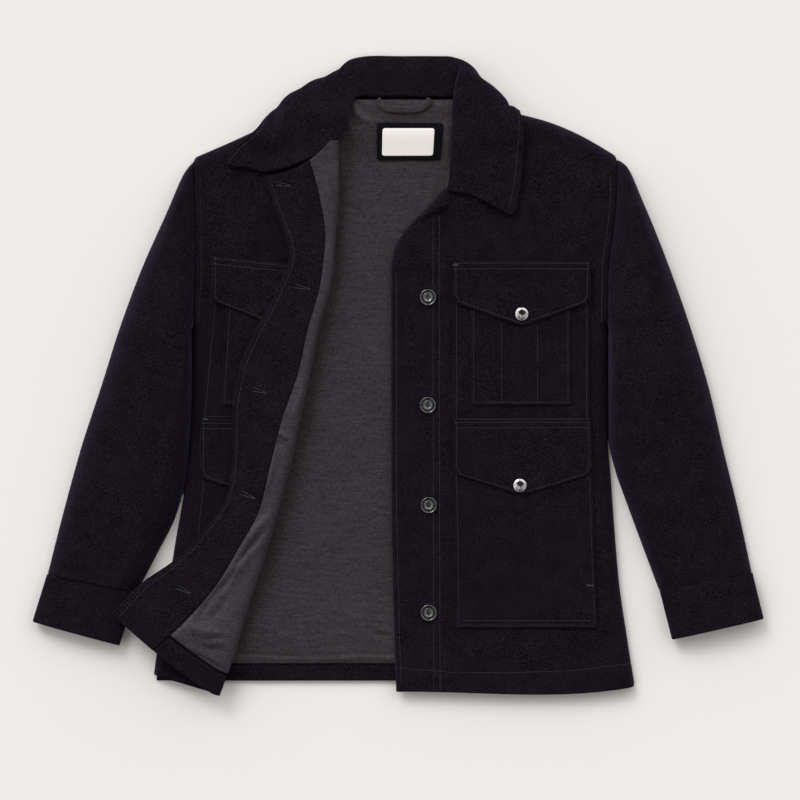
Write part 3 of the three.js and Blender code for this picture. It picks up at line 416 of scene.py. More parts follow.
right_rows = reader("v side_y fold_x fold_y face_x face_y edge_x edge_y round edge_z", [
    (0, 261, -72, 283, -106, 259, -163, 240, 7, 15), (0.083, 208, -71, 226, -94, 215.5, -145, 193, 6.5, 17),
    (0.167, 160, -75, 169, -87, 164, -130, 146, 5.8, 22.6),
    (0.25, 112, -80, 112, -93, 109, -147, 99, 6, 23.2), (0.333, 60, -95, 57, -108, 56, -172, 53, 6, 23.2),
    (0.417, 8, -106, 1, -120, 2.3, -190, 9, 6.5, 22.5), (0.5, -45, -118, -55, -139, -53, -198, -41, 8, 21),
    (0.583, -97, -130, -111, -152, -105, -198, -92, 8, 21),
    (0.667, -150, -145, -166, -165, -158, -204, -141, 7.5, 21),
    (0.75, -205, -161, -221, -190, -205, -231, -183, 8, 20.5),
    (0.833, -257, -179, -275, -218, -251, -266, -219, 8, 21),
    (0.917, -306, -195, -330, -254, -292, -307, -248, 7, 24),
    (1, -359, -214, -383, -293, -328, -342, -284, 6, 25),
])
right_top = reader("u x y", [
    (0, -245, 261), (0.2, -208, 277), (0.5, -150, 303), (0.78, -100, 325.5), (0.88, -76, 318),
    (1, -81, 283),
])


def fold_frame(v):
    row = right_rows(v)
    side_x = body_sides(-row.side_y).left
    a, b = right_rows(np.maximum(0, v - 0.03)), right_rows(np.minimum(1, v + 0.03))
    out = unit(np.stack([a.fold_y - b.fold_y, b.fold_x - a.fold_x], axis=-1))
    cover = WOOL / 2 + GAP + LINING
    middle = np.stack([row.fold_x, row.fold_y], axis=-1) - out * (row.round + cover)[..., None]
    return row, side_x, out, middle


FOLD_START = fold_frame(np.array(0.0))[3]


def right_front(u, v):
    u, v = np.broadcast_arrays(u, v)
    row, side_x, out, middle = fold_frame(v)
    low = right_height(middle[..., 0], middle[..., 1])
    # Turned-back part
    edge = np.stack([row.edge_x, row.edge_y], axis=-1)
    face = np.stack([row.face_x, row.face_y], axis=-1)
    to_face = np.linalg.norm(face - edge, axis=-1)
    share = to_face / (to_face + np.linalg.norm(face - middle, axis=-1))
    k = np.clip(4 - u, 0, 1)
    turned = (
        edge * ((k - share) * (k - 1) / share)[..., None]
        + face * (k * (k - 1) / (share * (share - 1)))[..., None]
        + middle * (k * (k - share) / (1 - share))[..., None]
    )
    turned_z = lerp(row.edge_z, low + 2 * row.round, smooth(k, 0, 1))
    turned_z = turned_z + turned_wave(u, v)
    # Round the fold
    angle = (np.clip(u, 2, 3) - 2.5) * np.pi
    fold = middle + out * (row.round * np.cos(angle))[..., None]
    fold_z = low + row.round * (1 + np.sin(angle))
    # Lower run
    side = np.stack([side_x, row.side_y], axis=-1)
    width = np.linalg.norm(side - middle, axis=-1)
    reach = CURL * (1 - np.cos(np.minimum(u, 1) * np.pi / 2))
    along = np.where(u < 1, reach, lerp(CURL, width, np.clip(u - 1, 0, 1))) / width
    lower = lerp(side, middle, along[..., None])
    bent = right_top(along)
    start = lerp(np.array([-245.0, 261.0]), FOLD_START, along[..., None])
    weight = (1 - np.minimum(1, v / TOP_REACH)) ** 2
    x = lower[..., 0] + weight * (bent.x - start[..., 0])
    y = lower[..., 1] + weight * (bent.y - start[..., 1])
    plan_x = np.where(u > 3, turned[..., 0], np.where(u > 2, fold[..., 0], x))
    plan_y = np.where(u > 3, turned[..., 1], np.where(u > 2, fold[..., 1], y))
    z = np.where(u > 3, turned_z, np.where(u > 2, fold_z, right_height(x, y)))
    return stack(plan_x, plan_y, z)


def turned_wave(u, v):
    """The turned-back part isn't quite flat: it rises and falls along its length."""
    k = np.clip(u - 3, 0, 1)
    wave = 0.9 * np.sin(v * 19 + 0.6) + 0.6 * np.sin(v * 37 + 2.0 * k)
    return np.maximum(wave, -0.6) * smooth(k, 0, 0.6) * smooth(v, 0.02, 0.1) * fade(v, 0.9, 1)


RIGHT_SPAN = ((0, 4), (0, 1))


def right_inner(lift):
    return moved(right_front, -lift, *RIGHT_SPAN)


def facing_start(v):
    row, _, _, middle = fold_frame(v)
    to_face = np.hypot(row.face_x - row.edge_x, row.face_y - row.edge_y)
    to_fold = np.hypot(row.face_x - middle[..., 0], row.face_y - middle[..., 1])
    return 4 - to_face / (to_face + to_fold)


def facing(u, v):
    return right_inner(layer(1) + 0.2)(lerp(facing_start(v), 4 - EDGE_SETBACK, u), v)


def folded_to(u, v):
    return np.where(u > 3, lerp(3, facing_start(v) - FACING_SEAM, np.clip(u - 3, 0, 1)), u)


def hem_strip(u, v):
    return right_inner(layer(1))(folded_to(u, v), v)


FOLD_CREASES = [
    (-92, 262, -76, 212, 4.5, 2.2), (-84, 262, -77, 216, 2.5, -1.2), (-70, 276, -72, 236, 4, 2),
    (-82, 150, -80, 90, 4, 1.2), (-98, 96, -92, 30, 4, 1.4), (-112, -4, -126, -50, 3.5, 1.6),
    (-133, -14, -120, -12, 2.5, 1.6), (-148, -66, -131, -77, 3.2, 3), (-150, -76, -134, -86, 2.4, -1.6),
    (-146, -84, -166, -150, 3.6, 2.2), (-156, -96, -176, -160, 2.8, -1.8), (-203, -240, -146, -160, 4.5, 2.8),
    (-208, -254, -150, -178, 2.8, -2.4), (-212, -268, -158, -196, 4, 2.4), (-232, -282, -186, -218, 4.2, 2.4),
    (-242.2, -297.2, -189.7, -232.2, 3.4, -3), (-199.8, -260, -239.8, -297.5, 2.6, -3),
    (-213.5, -264.8, -232.2, -292.3, 3.1, 2.4), (-277.4, -304, -184.9, -329, 23.4, 4.5),
    (-255.8, -304, -233.3, -299.5, 2.3, 2.1), (-262.2, -306.4, -222.2, -301.9, 2, -2.8),
    (-259.7, -309, -213.4, -304.5, 2.6, 2.4), (-265.7, -312.9, -231.9, -309.2, 2, -3.3),
    (-255.5, -317.7, -199.2, -308.5, 2.9, 2.7), (-260.4, -322.6, -205.4, -310.6, 2.7, -4.5),
    (-240, -323, -202.5, -318.5, 2.6, 2.1), (-245.2, -325.2, -205.2, -327.2, 2.3, -3.9),
    (-248.9, -331.6, -212.7, -349.1, 2.5, -4.5), (-240.4, -336.4, -210.4, -343.9, 3.4, 2.1),
]


def fold_lining(u, v):
    base = right_inner(WOOL / 2 + 3 * GAP + LINING / 2)(folded_to(u, v), v)
    sewn = fade(u, 3.97, 4) * smooth(v, 0.002, 0.02) * fade(v, HEM_SHARE - 0.012, HEM_SHARE)
    x, y = base[..., 0], base[..., 1]
    settled = creases(x, y, FOLD_CREASES) + drift(x, y, 14, 0.8, 0.3)
    visible = smooth(u, 2.4, 2.7)
    # Next to the facing the lining lies as high as its seam.
    seam = 1.3 * smooth(u, 3.9, 4)
    rise = (1.1 + np.maximum(1.2 * settled, -2.2)) * visible * lerp(0.25, 1, sewn)
    return base + stack(0 * rise, 0 * rise, rise * fade(u, 3.93, 4) + seam)


LEFT_SLEEVE = [
    (0, 262.5, 260.5, 254.8, 62, LEFT_LEVEL, 11), (0.02, 264.5, 259, 254, 58, LEFT_LEVEL + 0.4, 12),
    (0.08, 273.5, 252, 254, 38, 20, 20), (0.2, 293, 210, 253.8, 8, 28, 30),
    (0.35, 321.5, 140, 253.8, -32, 31, 34), (0.5, 349.5, 61, 254.2, -75, 31, 34),
    (0.63, 373, -16.5, 262, -112, 29, 33), (0.76, 390, -89, 276, -152, 26, 31),
    (0.88, 407, -158, 293, -198, 23, 28), (1, 424, -236, 315, -257, 20, 24),
]
RIGHT_SLEEVE = [
    (0, -245.5, 259.5, -250, 62, RIGHT_LEVEL, 11), (0.02, -247, 256, -249.2, 58, RIGHT_LEVEL + 0.4, 12),
    (0.08, -255.5, 244, -249.2, 38, 18, 20), (0.2, -277.5, 194.5, -249, 5, 28, 30),
    (0.35, -307.5, 127, -249.5, -38, 31, 34), (0.5, -334.5, 54, -251.9, -80, 31, 34),
    (0.63, -356, -14, -255.5, -118, 29, 33), (0.76, -379, -84, -267.5, -166, 26, 31),
    (0.88, -400, -160, -290, -212, 23, 28), (1, -420, -238, -315, -259, 20, 24),
]
SLEEVE_CREASES = {
    "left": [
        (262, 60, 320, 120, 12, 1.6), (262, 10, 335, 70, 14, -1.8), (270, -60, 350, 10, 15, 1.6),
        (282, -110, 372, -60, 13, -1.6), (300, -160, 392, -120, 12, 1.3), (330, 130, 372, -20, 16, -1.2),
        (375, -40, 408, -190, 13, 1.2), (320, -180, 352, -250, 12, -1.2), (290, 190, 330, 90, 16, 1),
    ],
    "right": [
        (-255, 55, -300, 120, 12, 1.5), (-256, 0, -320, 55, 14, -1.7), (-262, -70, -335, -10, 14, 1.5),
        (-278, -130, -365, -70, 13, -1.7), (-300, -180, -385, -130, 12, 1.4), (-315, 120, -350, -10, 16, -1.1),
        (-370, -60, -405, -200, 13, 1.2), (-325, -190, -350, -255, 11, -1.2),
    ],
}


def sleeve_surfaces(side, table, outward):
    rows = reader("t out_x out_y in_x in_y height curl", table)

    def ends_of(row):
        return np.stack([row.out_x, row.out_y], -1), np.stack([row.in_x, row.in_y], -1)

    def on_armhole(plain):
        def surface(u, t):
            u, t = np.broadcast_arrays(u, t)
            p, start = plain(u, t), plain(u, 0 * t)
            sides = body_sides(-start[..., 1])
            edge = (sides.right if outward > 0 else sides.left) + outward * ARMHOLE_GAP
            pull = (edge - start[..., 0]) * fade(t, 0, 0.15)
            pull = pull * smooth(start[..., 1], ARMPIT_Y + 4, ARMPIT_Y + 24)
            return p + stack(pull, 0 * pull, 0 * pull)

        return surface

    def top(u, t):
        row = rows(t)
        outer, inner = ends_of(row)
        length = np.linalg.norm(outer - inner, axis=-1)
        angle = np.clip(np.minimum(u, 3 - u), 0, 1) * np.pi / 2
        reach = row.curl * (1 - np.cos(angle))
        flat = lerp(row.curl, length - row.curl, u - 1)
        along = np.where(u < 1, reach, np.where(u > 2, length - reach, flat))
        p = lerp(outer, inner, (along / length)[..., None])
        x, y = p[..., 0], p[..., 1]
        settled = creases(x, y, SLEEVE_CREASES[side]) + drift(x, y, 40, 1.6, 0.9 if outward > 0 else 3.0)
        calm = smooth(np.sin(angle), 0.3, 0.95) * smooth(t, 0.03, 0.15) * fade(t, 0.9, 1)
        return stack(x, y, SEAM_Z + (row.height - SEAM_Z) * np.sin(angle) + settled * calm)

    def under(u, t):
        row, before, after = rows(t), rows(np.maximum(0, t - 0.01)), rows(np.minimum(1, t + 0.01))
        outer, inner = ends_of(row)

        def inset(p, dx, dy, towards):
            across = unit(np.stack([dy, -dx], -1))
            sign = np.sign(np.sum(across * (towards - p), axis=-1, keepdims=True))
            return p + across * sign * SEAM_INSET

        start = inset(outer, after.out_x - before.out_x, after.out_y - before.out_y, inner)
        end = inset(inner, after.in_x - before.in_x, after.in_y - before.in_y, outer)
        end = lerp(end, inner, (0.9 * fade(t, 0.6, 0.75))[..., None])
        p = lerp(start, end, u[..., None])
        return stack(p[..., 0], p[..., 1], WOOL / 2)

    return on_armhole(top), on_armhole(under)


def cuff_ring(seam_out, seam_in, end_out, end_in, height):
    a, b, c, d = (np.array(p, float) for p in (seam_out, seam_in, end_out, end_in))

    def surface(u, v):
        u, v = np.broadcast_arrays(u, v)
        angle = u * 2 * np.pi
        outer, inner = lerp(a, c, v[..., None]), lerp(b, d, v[..., None])

        def round_off(value):
            return np.sign(value) * np.abs(value) ** (2 / CUFF_SQUARENESS)

        p = lerp(outer, inner, 0.5 - 0.5 * round_off(np.cos(angle))[..., None])
        rise = (height - WOOL / 2) / 2
        settled = 0.5 * np.sin(angle * 2 + 5 * v) * np.clip(np.sin(angle), 0, 1) * smooth(v, 0, 0.3)
        return stack(p[..., 0], p[..., 1], WOOL / 2 + rise * (1 + round_off(np.sin(angle))) + settled)

    return surface


COLLAR = [
    [(-157.5, 244.5, 20), (-165, 245.5, 18.5), (-172, 247.5, 17), (-180, 249.5, 15),
     (-187, 250.5, 15), (-194, 251, 14), (-201, 252.5, 14), (-207, 257.5, 14)],
    [(-133, 249.5, 24), (-142, 252, 22), (-151, 256.5, 19), (-159, 260.5, 16),
     (-168, 264, 15), (-177, 267, 14), (-186, 270, 14), (-195, 273, 14)],
    [(-107.5, 259.5, 26), (-116, 263.5, 24), (-125, 269.5, 21), (-134, 276, 18),
     (-143, 280, 17), (-152, 285, 17), (-161, 290, 17), (-170, 295, 15)],
    [(-91, 268.5, 25.5), (-101, 276, 24), (-113, 287, 21), (-126, 297, 19),
     (-138, 305, 18), (-147, 311, 15.5), (-152, 314, 11.5), (-153.5, 312, 7)],
    [(-71, 285.5, 25), (-81, 296, 23.5), (-96, 310.5, 21), (-111, 324, 19),
     (-124, 333, 17), (-131, 335.5, 10), (-124, 328, 3.4), (-113, 316, 2.65)],
    [(-58, 304, 22), (-71, 320, 20.5), (-84, 336, 19), (-95, 348.5, 16),
     (-101, 353, 9.5), (-95, 346, 3.4), (-86, 331, 2.65), (-74, 311, 2.65)],
    [(-56, 324, 16.5), (-64, 340, 16.5), (-74, 358, 15), (-77, 363, 8),
     (-73, 357, 3), (-67, 343, 2.65), (-61, 326, 2.65), (-55, 307, 2.65)],
    [(-48, 335.5, 11), (-54, 362, 10.5), (-60, 376, 6.5), (-56, 370, 2.65),
     (-51, 355, 2.65), (-46, 340, 2.65), (-43, 320, 2.65), (-39, 300, 2.65)],
    [(-33, 335.5, 9.4), (-38, 368, 9), (-41, 381.6, 5.8), (-38, 374, 2.65),
     (-35, 358, 2.65), (-32, 340, 2.65), (-30, 320, 2.65), (-28, 299, 2.65)],
    [(5, 335.5, 9), (5, 370, 8.8), (5, 382, 5.7), (5, 374, 2.65),
     (5, 358, 2.65), (5, 340, 2.65), (5, 320, 2.65), (5, 299, 2.65)],
    [(45, 335.5, 9), (45, 370, 9), (45, 382, 5.8), (45, 374, 2.65),
     (45, 358, 2.65), (45, 340, 2.65), (45, 320, 2.65), (45, 299, 2.65)],
    [(68, 335.5, 9.6), (65, 368, 11), (65, 381, 8), (66, 374, 3),
     (64, 358, 2.65), (62, 341, 2.65), (60, 321, 2.65), (58, 300, 2.65)],
    [(81, 335.5, 10.5), (79, 353, 14.5), (77.5, 373.5, 18.5), (86, 371, 15.5),
     (91, 364, 9), (86, 355, 3.4), (80, 340, 2.65), (75, 302, 2.65)],
    [(90, 337, 9), (84, 345.5, 16.5), (74, 361, 20.5), (84, 362, 25),
     (97, 356, 22), (104, 350, 10), (98, 340, 3.2), (88, 304, 2.65)],
    [(97, 333, 10), (87, 337, 17), (70.5, 348, 20), (84, 349, 25.5),
     (106, 345, 25), (119, 340, 13), (114, 332, 3.6), (103, 307, 2.65)],
    [(95.5, 317, 15.5), (84, 321, 16.5), (68, 330, 20), (84, 332, 26),
     (110, 328, 25.5), (130, 326.5, 15), (129, 322, 6), (124.5, 318, 2.9)],
    [(94.8, 309, 18.3), (81, 312, 15.3), (67, 319, 19.3), (83, 320, 25.8),
     (108, 318.5, 26), (125, 319, 24.5), (137, 320.5, 20.5), (145.5, 315, 16)],
    [(94, 301, 18.6), (81, 303, 15), (66.5, 307, 19), (82, 308, 25),
     (106, 308, 25), (128, 308, 23), (140, 306, 21.5), (149, 301.5, 21)],
    [(90, 280, 17), (78, 281, 14), (65.5, 283, 17), (80, 284, 22.5),
     (100, 284, 22), (122, 285, 21), (138, 285, 20), (150, 285, 19)],
    [(85, 259.5, 13.6), (75, 260, 12), (64.5, 262, 15), (79, 262, 20),
     (98, 263, 19.5), (118, 263, 19), (135, 263, 18), (149.5, 262, 18)],
    [(77.5, 243, 13.5), (70, 242, 12.6), (63.5, 242, 15.5), (76, 241, 19.6),
     (94, 240, 19), (114, 239, 18.5), (132, 238, 18), (147.5, 237, 18)],
    [(68.5, 228.5, 13.6), (64.5, 226, 14.6), (61, 222.5, 17.5), (72, 220, 20),
     (89, 216.5, 20.5), (106, 208, 20), (123, 198.5, 19), (140, 190.5, 18)],
]
COLLAR_PARTS = ["seam", "stand", "roll", "fall", "bend", "turn", "tuck", "edge"]


def collar_points():
    points = np.array(COLLAR, float)
    for row in points:
        for part, p in zip(COLLAR_PARTS, row):
            x, y, z = p
            height = left_height if x > 0 else right_height
            below = max(float(height(x, y)), float(height(x, y - CURL / 2)))
            free = part == "seam" or (x > 0 and (part in ("stand", "roll") or x < 90))
            if z > LYING_Z and not free and y < float(shoulder_line(x).y) + 2:
                p[2] = max(z, below + COLLAR_REST)
    return points


def collar_grid(us, vs):
    sections = catmull(collar_points(), vs)
    grid = catmull(np.swapaxes(sections, 0, 1), us)
    grid = np.swapaxes(grid, 0, 1).copy()
    grid[..., 2] = np.maximum(grid[..., 2], COLLAR_BED)
    return grid


# Materials


def wire(tree, made, **inputs):
    """Sets a node's inputs to numbers and colours, or links them to the outputs of other nodes."""
    for name, value in inputs.items():
        socket = made.inputs[name.replace("_", " ")]
        if isinstance(value, bpy.types.NodeSocket):
            tree.links.new(value, socket)
        else:
            socket.default_value = value
    return made


def new_node(tree, kind, **inputs):
    return wire(tree, tree.nodes.new("ShaderNode" + kind), **inputs)


def calc(tree, operation, first, second=0.0):
    made = tree.nodes.new("ShaderNodeMath")
    made.operation = operation
    for socket, value in zip(made.inputs, (first, second)):
        if isinstance(value, (int, float)):
            socket.default_value = value
        else:
            tree.links.new(value, socket)
    return made.outputs[0]


def blend(tree, *parts):
    """The sum of values, each times its weight."""
    terms = [calc(tree, "MULTIPLY", value, weight) for value, weight in parts]
    return reduce(lambda first, second: calc(tree, "ADD", first, second), terms)


def noise(tree, coords, scale, detail, rough=0.6):
    made = new_node(tree, "TexNoise", Vector=coords, Scale=scale, Detail=detail, Roughness=rough)
    return made.outputs["Fac"]


def ramp(tree, factor, stops):
    made = new_node(tree, "ValToRGB", Fac=factor)
    elements = made.color_ramp.elements
    while len(elements) < len(stops):
        elements.new(0.5)
    for element, (place, color) in zip(elements, stops):
        element.position = place
        element.color = (*color, 1)
    return made.outputs["Color"]


def new_material(name, color, roughness, **inputs):
    made = bpy.data.materials.new(name)
    made.use_nodes = True
    shader = made.node_tree.nodes["Principled BSDF"]
    wire(made.node_tree, shader, Base_Color=(*color, 1), Roughness=roughness, **inputs)
    return made


def textured(made, height, stops, strength, distance, **inputs):
    """Gives a material the colours of a height's ramp, and its relief."""
    tree = made.node_tree
    bump = new_node(tree, "Bump", Strength=strength, Distance=distance, Height=height)
    color = ramp(tree, height, stops)
    wire(tree, tree.nodes["Principled BSDF"], Base_Color=color, Normal=bump.outputs["Normal"], **inputs)
    return made


def wool(name, dark, light, sheen):
    """Milled wool: a felted nap with lighter hairs in it."""
    made = new_material(name, dark, 0.95, Specular_IOR_Level=0.08)
    tree = made.node_tree
    coords = new_node(tree, "TexCoord").outputs["Object"]
    nap, hairs = noise(tree, coords, 690, 3, 0.75), noise(tree, coords, 1700, 2)
    felt = blend(tree, (nap, 0.66), (hairs, 0.24), (noise(tree, coords, 45, 3), 0.10))
    stops = [(0.455, dark), (0.575, light)]
    glow = {"Sheen_Weight": sheen, "Sheen_Roughness": 0.35, "Sheen_Tint": (0.42, 0.36, 0.85, 1)}
    return textured(made, felt, stops, 1.0, 0.0016, **glow)


def satin(name, color):
    """A thin woven lining: threads of uneven thickness that cross."""
    made = new_material(name, color, 0.46, Specular_IOR_Level=0.10, Sheen_Weight=0.03)
    tree = made.node_tree
    coords = new_node(tree, "TexCoord").outputs["Object"]

    def threads(*scale):
        return noise(tree, new_node(tree, "Mapping", Vector=coords, Scale=scale).outputs["Vector"], 1, 2)

    warp, weft, slubs = threads(1100, 160, 160), threads(160, 1100, 160), threads(60, 420, 60)
    weave = blend(tree, (warp, 0.38), (weft, 0.38), (slubs, 0.24))
    dark, light = ([c * tone for c in color] for tone in (0.60, 1.38))
    return textured(made, weave, [(0.42, dark), (0.58, light)], 0.4, 0.0004)


NAVY = wool("navy_wool", (0.0008, 0.0004, 0.0012), (0.0172, 0.0103, 0.0192), 0.10)
# A bluer copy of the navy wool for the pockets: painted light, for the pocket cloth catching the light differently
# from the rest of the wool.
LIT_POCKET_NAVY = wool("pocket_wool_painted_light", (0.0008, 0.0005, 0.0014), (0.0163, 0.0098, 0.0184), 0.10)
GREY = satin("grey_lining", (0.0330, 0.0272, 0.0318))
# A lighter copy of the grey lining for the right front's turned-back lining: painted light, for that lining lying in
# brighter light than the back lining.
LIT_FOLD_GREY = satin("fold_lining", (0.0385, 0.0312, 0.0385))
DARK_TAPE = wool("dark_tape", (0.0014, 0.0012, 0.0022), (0.0080, 0.0070, 0.0100), 0.03)
WHITE_TAPE = new_material("white_tape", (0.88, 0.83, 0.795), 0.85)
THREAD = new_material("thread", (0.040, 0.047, 0.057), 0.7)
PLASTIC = new_material("black_plastic", (0.003, 0.003, 0.004), 0.09, IOR=2.05)
METAL = new_material("dark_metal", (0.56, 0.53, 0.53), 0.08, Metallic=1.0)
SLOTS = {NAVY.name: "navy_wool", LIT_POCKET_NAVY.name: "navy_wool", GREY.name: "grey_lining"}
SLOTS |= {LIT_FOLD_GREY.name: "grey_lining", DARK_TAPE.name: "dark_tape", WHITE_TAPE.name: "white_tape"}


# Meshes


def run(grid, axis=0):
    """Distance of each point of a line, or of a grid's lines along the axis, from the first."""
    steps = np.linalg.norm(np.diff(grid, axis=axis), axis=-1)
    pad = [(0, 0)] * steps.ndim
    pad[axis] = (1, 0)
    return np.cumsum(np.pad(steps, pad), axis=axis)


def stations(length, step):
    """Places along a line as shares of its length, close together at its rims."""
    inner = np.linspace(RIM, length - RIM, max(2, round(length / step)))
    lip = RIM * np.array([0, 0.06, 0.22, 0.55])
    return np.concatenate([lip, inner, (length - lip)[::-1]]) / length


def sampled(surface, step, u_span=(0, 1), v_span=(0, 1), middle=(0.5, 0.5), step_u=None):
    """A grid of points a step apart, measured on the surface's middle lines, with their u and v."""

    def even(span, line_at, step):
        t = np.linspace(*span, 800)
        length = run(line_at(t))
        return np.interp(stations(length[-1], step), length / length[-1], t)

    mid_u, mid_v = lerp(*u_span, middle[0]), lerp(*v_span, middle[1])
    us = even(u_span, lambda t: surface(t, np.full_like(t, mid_v)), step_u or step)
    vs = even(v_span, lambda t: surface(np.full_like(t, mid_u), t), step)
    u, v = np.meshgrid(us, vs)
    return surface(u, v), u, v


def from_rim(grid, axis):
    total = run(grid, axis)
    return total, np.take(total, [-1], axis=axis) - total


def round_end(grid, last_row, last_column, radius):
    """Rounds one corner of a grid of points with an arc of the radius."""
    q, p = (
        np.clip(1 - from_rim(grid, axis)[last] / radius, 0, 1) for axis, last in enumerate((last_row, last_column))
    )
    down, across = (
        unit(np.gradient(grid, axis=axis)) * (1 if last else -1) for axis, last in enumerate((last_row, last_column))
    )
    pull_across, pull_down = corner_pull(p, q, radius), corner_pull(q, p, radius)
    return grid - across * pull_across[..., None] - down * pull_down[..., None]


def grid_normals(grid, ring=False):
    along = np.roll(grid, -1, axis=1) - np.roll(grid, 1, axis=1) if ring else np.gradient(grid, axis=1)
    return unit(np.cross(np.gradient(grid, axis=0), along))


def new_object(name, verts, faces, material):
    mesh = bpy.data.meshes.new(name)
    mesh.from_pydata(((np.asarray(verts) + SHIFT) / 1000).tolist(), [], faces)
    mesh.update()
    mesh.polygons.foreach_set("use_smooth", [True] * len(mesh.polygons))
    obj = bpy.data.objects.new(name, mesh)
    bpy.context.scene.collection.objects.link(obj)
    mesh.materials.append(material)
    return obj


def stand_for(obj, node):
    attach(obj, "root")
    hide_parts(node)


def wall(name, grid, thickness, material, bump, ring):
    """A closed sheet of cloth round a grid of points, with rounded rims. bump raises its upper face."""
    rows, across = grid.shape[:2]
    normals = grid_normals(grid, ring)
    to_edge = np.minimum.reduce([np.minimum(*from_rim(grid, axis)) for axis in ((0,) if ring else (0, 1))])
    half = thickness / 2 * quarter_round(to_edge, RIM * 0.8)
    top = grid + normals * (half + bump)[..., None]
    bottom = grid - normals * half[..., None]
    rim = np.zeros((rows, across), bool)
    rim[[0, -1]] = True
    if not ring:
        rim[:, [0, -1]] = True
    upper = np.arange(rows * across).reshape(rows, across)
    lower = upper.copy()
    lower[~rim] = rows * across + np.arange((~rim).sum())
    verts = np.concatenate([top.reshape(-1, 3), bottom[~rim]])
    if ring:
        upper, lower = (np.hstack([ids, ids[:, :1]]) for ids in (upper, lower))

    def quads(ids, flip):
        a, b, c, d = ids[:-1, :-1], ids[:-1, 1:], ids[1:, 1:], ids[1:, :-1]
        return np.stack([q.ravel() for q in ((a, b, c, d) if flip else (a, d, c, b))], axis=-1)

    faces = np.concatenate([quads(upper, False), quads(lower, True)])
    return new_object(name, verts, faces.tolist(), material)


SHORTEST_FLAT = 0.01


def cloth(node, grid, bump=0.0, thickness=WOOL, material=NAVY, ring=False):
    """The sheet that stands for a CAD node; its flat size is that of its longest row and column."""
    obj = wall("jacket_" + node, grid, thickness, material, bump, ring)
    stand_for(obj, node)
    closed = np.concatenate([grid, grid[:, :1]], axis=1) if ring else grid
    widths, lengths = run(closed, 1)[:, -1], run(grid)[-1]
    corner = grid[:-1, :-1]
    area = np.linalg.norm(np.cross(grid[1:, :-1] - corner, grid[:-1, 1:] - corner), axis=-1).sum() / 1e6
    if ring:
        area = widths.mean() * lengths.mean() / 1e6
    flat = tuple(max(round(float(side.max()) / 1000, 3), SHORTEST_FLAT) for side in (widths, lengths))
    area = min(max(area, 0.31 * flat[0] * flat[1]), flat[0] * flat[1])


def facing_up(grid):
    return grid[:, ::-1] if grid_normals(grid)[..., 2].mean() < 0 else grid


# Stitching


def follow(line, at, *fields):
    """Reads fields that belong to a line's points at distances along it."""
    length = run(line)
    return [
        np.stack([np.interp(at, length, field[:, k]) for k in range(field.shape[1])], axis=-1) for field in fields
    ]


def resample(points, pitch):
    points = np.asarray(points, float)
    length = run(points)[-1]
    return follow(points, np.linspace(0, length, max(2, int(length / pitch) + 1)), points)[0]


def capsules(centres, tangents, normals, length, radius, sides=5):
    """Verts and faces of short threads, one at each centre: a tip, two rings and a tip."""
    side = unit(np.cross(tangents, normals))
    up = unit(np.cross(side, tangents))
    angle = (np.arange(sides) * 2 * np.pi / sides)[:, None]
    circle = radius * (np.cos(angle) * side[:, None] + np.sin(angle) * up[:, None])

    def at(shift):
        return centres[:, None] + tangents[:, None] * shift * length

    block = np.concatenate([at(-0.5), at(-0.38) + circle, at(0.38) + circle, at(0.5)], axis=1)
    count = block.shape[1]
    local = []
    for k in range(sides):
        a, b = 1 + k, 1 + (k + 1) % sides
        local += [(0, b, a), (a, b, sides + b, sides + a), (sides + a, sides + b, count - 1)]
    faces = [tuple(i + j * count for i in face) for j in range(len(block)) for face in local]
    return block.reshape(-1, 3), faces


class Threads:
    """Collects threads into one object."""

    def __init__(self, name):
        self.name, self.verts, self.faces, self.count = name, [], [], 0

    def put(self, centres, normals, tangents=None, length=STITCH, radius=THREAD_RADIUS):
        tangents = unit(np.gradient(centres, axis=0)) if tangents is None else tangents
        verts, faces = capsules(centres, tangents, normals, length, radius)
        self.verts.append(verts)
        self.faces += [tuple(i + self.count for i in face) for face in faces]
        self.count += len(verts)

    def line(self, place, points):
        """Stitches along a line in plan, on the surface that place describes."""
        self.put(*place(*resample(points, STITCH_PITCH).T))

    def bar(self, place, start, end, width=2.2):
        """A bar tack: close stitches across a short line."""
        on, normals = place(*resample([start, end], 0.75).T)
        across = unit(np.cross(normals, unit(np.gradient(on, axis=0))))
        self.put(on, normals, across, width, 0.32)

    def done(self):
        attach(new_object(self.name, np.concatenate(self.verts), self.faces, THREAD), "root")


def groove(x, y, lines, depth=0.45, width=STITCH_DIP):
    """How deep stitching pulls the cloth in along lines in plan."""
    found = np.full(np.shape(x), 1e9)
    for line in lines:
        for (x0, y0), (x1, y1) in zip(line[:-1], line[1:]):
            dx, dy = x1 - x0, y1 - y0
            t = np.clip(((x - x0) * dx + (y - y0) * dy) / max(dx * dx + dy * dy, 1e-9), 0, 1)
            found = np.minimum(found, np.hypot(x - x0 - t * dx, y - y0 - t * dy))
    return -depth * np.exp(-((found / width) ** 2))


def seam_dip(x, y, line):
    """The cloth next to a seam turns down into it."""
    return groove(x, y, [line], depth=1.7, width=2.1)


def wool_bump(x, y, lines=()):
    fine = 0.05 * np.sin(x * 1.9 + 1.3 * np.sin(y * 0.7)) * np.sin(y * 1.7 + np.sin(x * 0.9))
    return fine + (groove(x, y, lines) if len(lines) else 0)


# Back, lining, label and loop

cloth("back", sampled(back_surface, 8)[0])
turn_up = moved(back_surface, layer(1))
hem_top = 1 - HEM_TURN_UP / (NECK_Y - BACK_HEM_Y)
cloth("back_hem", sampled(turn_up, 3, (0.03, 0.97), (hem_top, 1))[0])
cloth("back_lining", sampled(back_lining, 2.3)[0], 0.0, LINING, GREY)

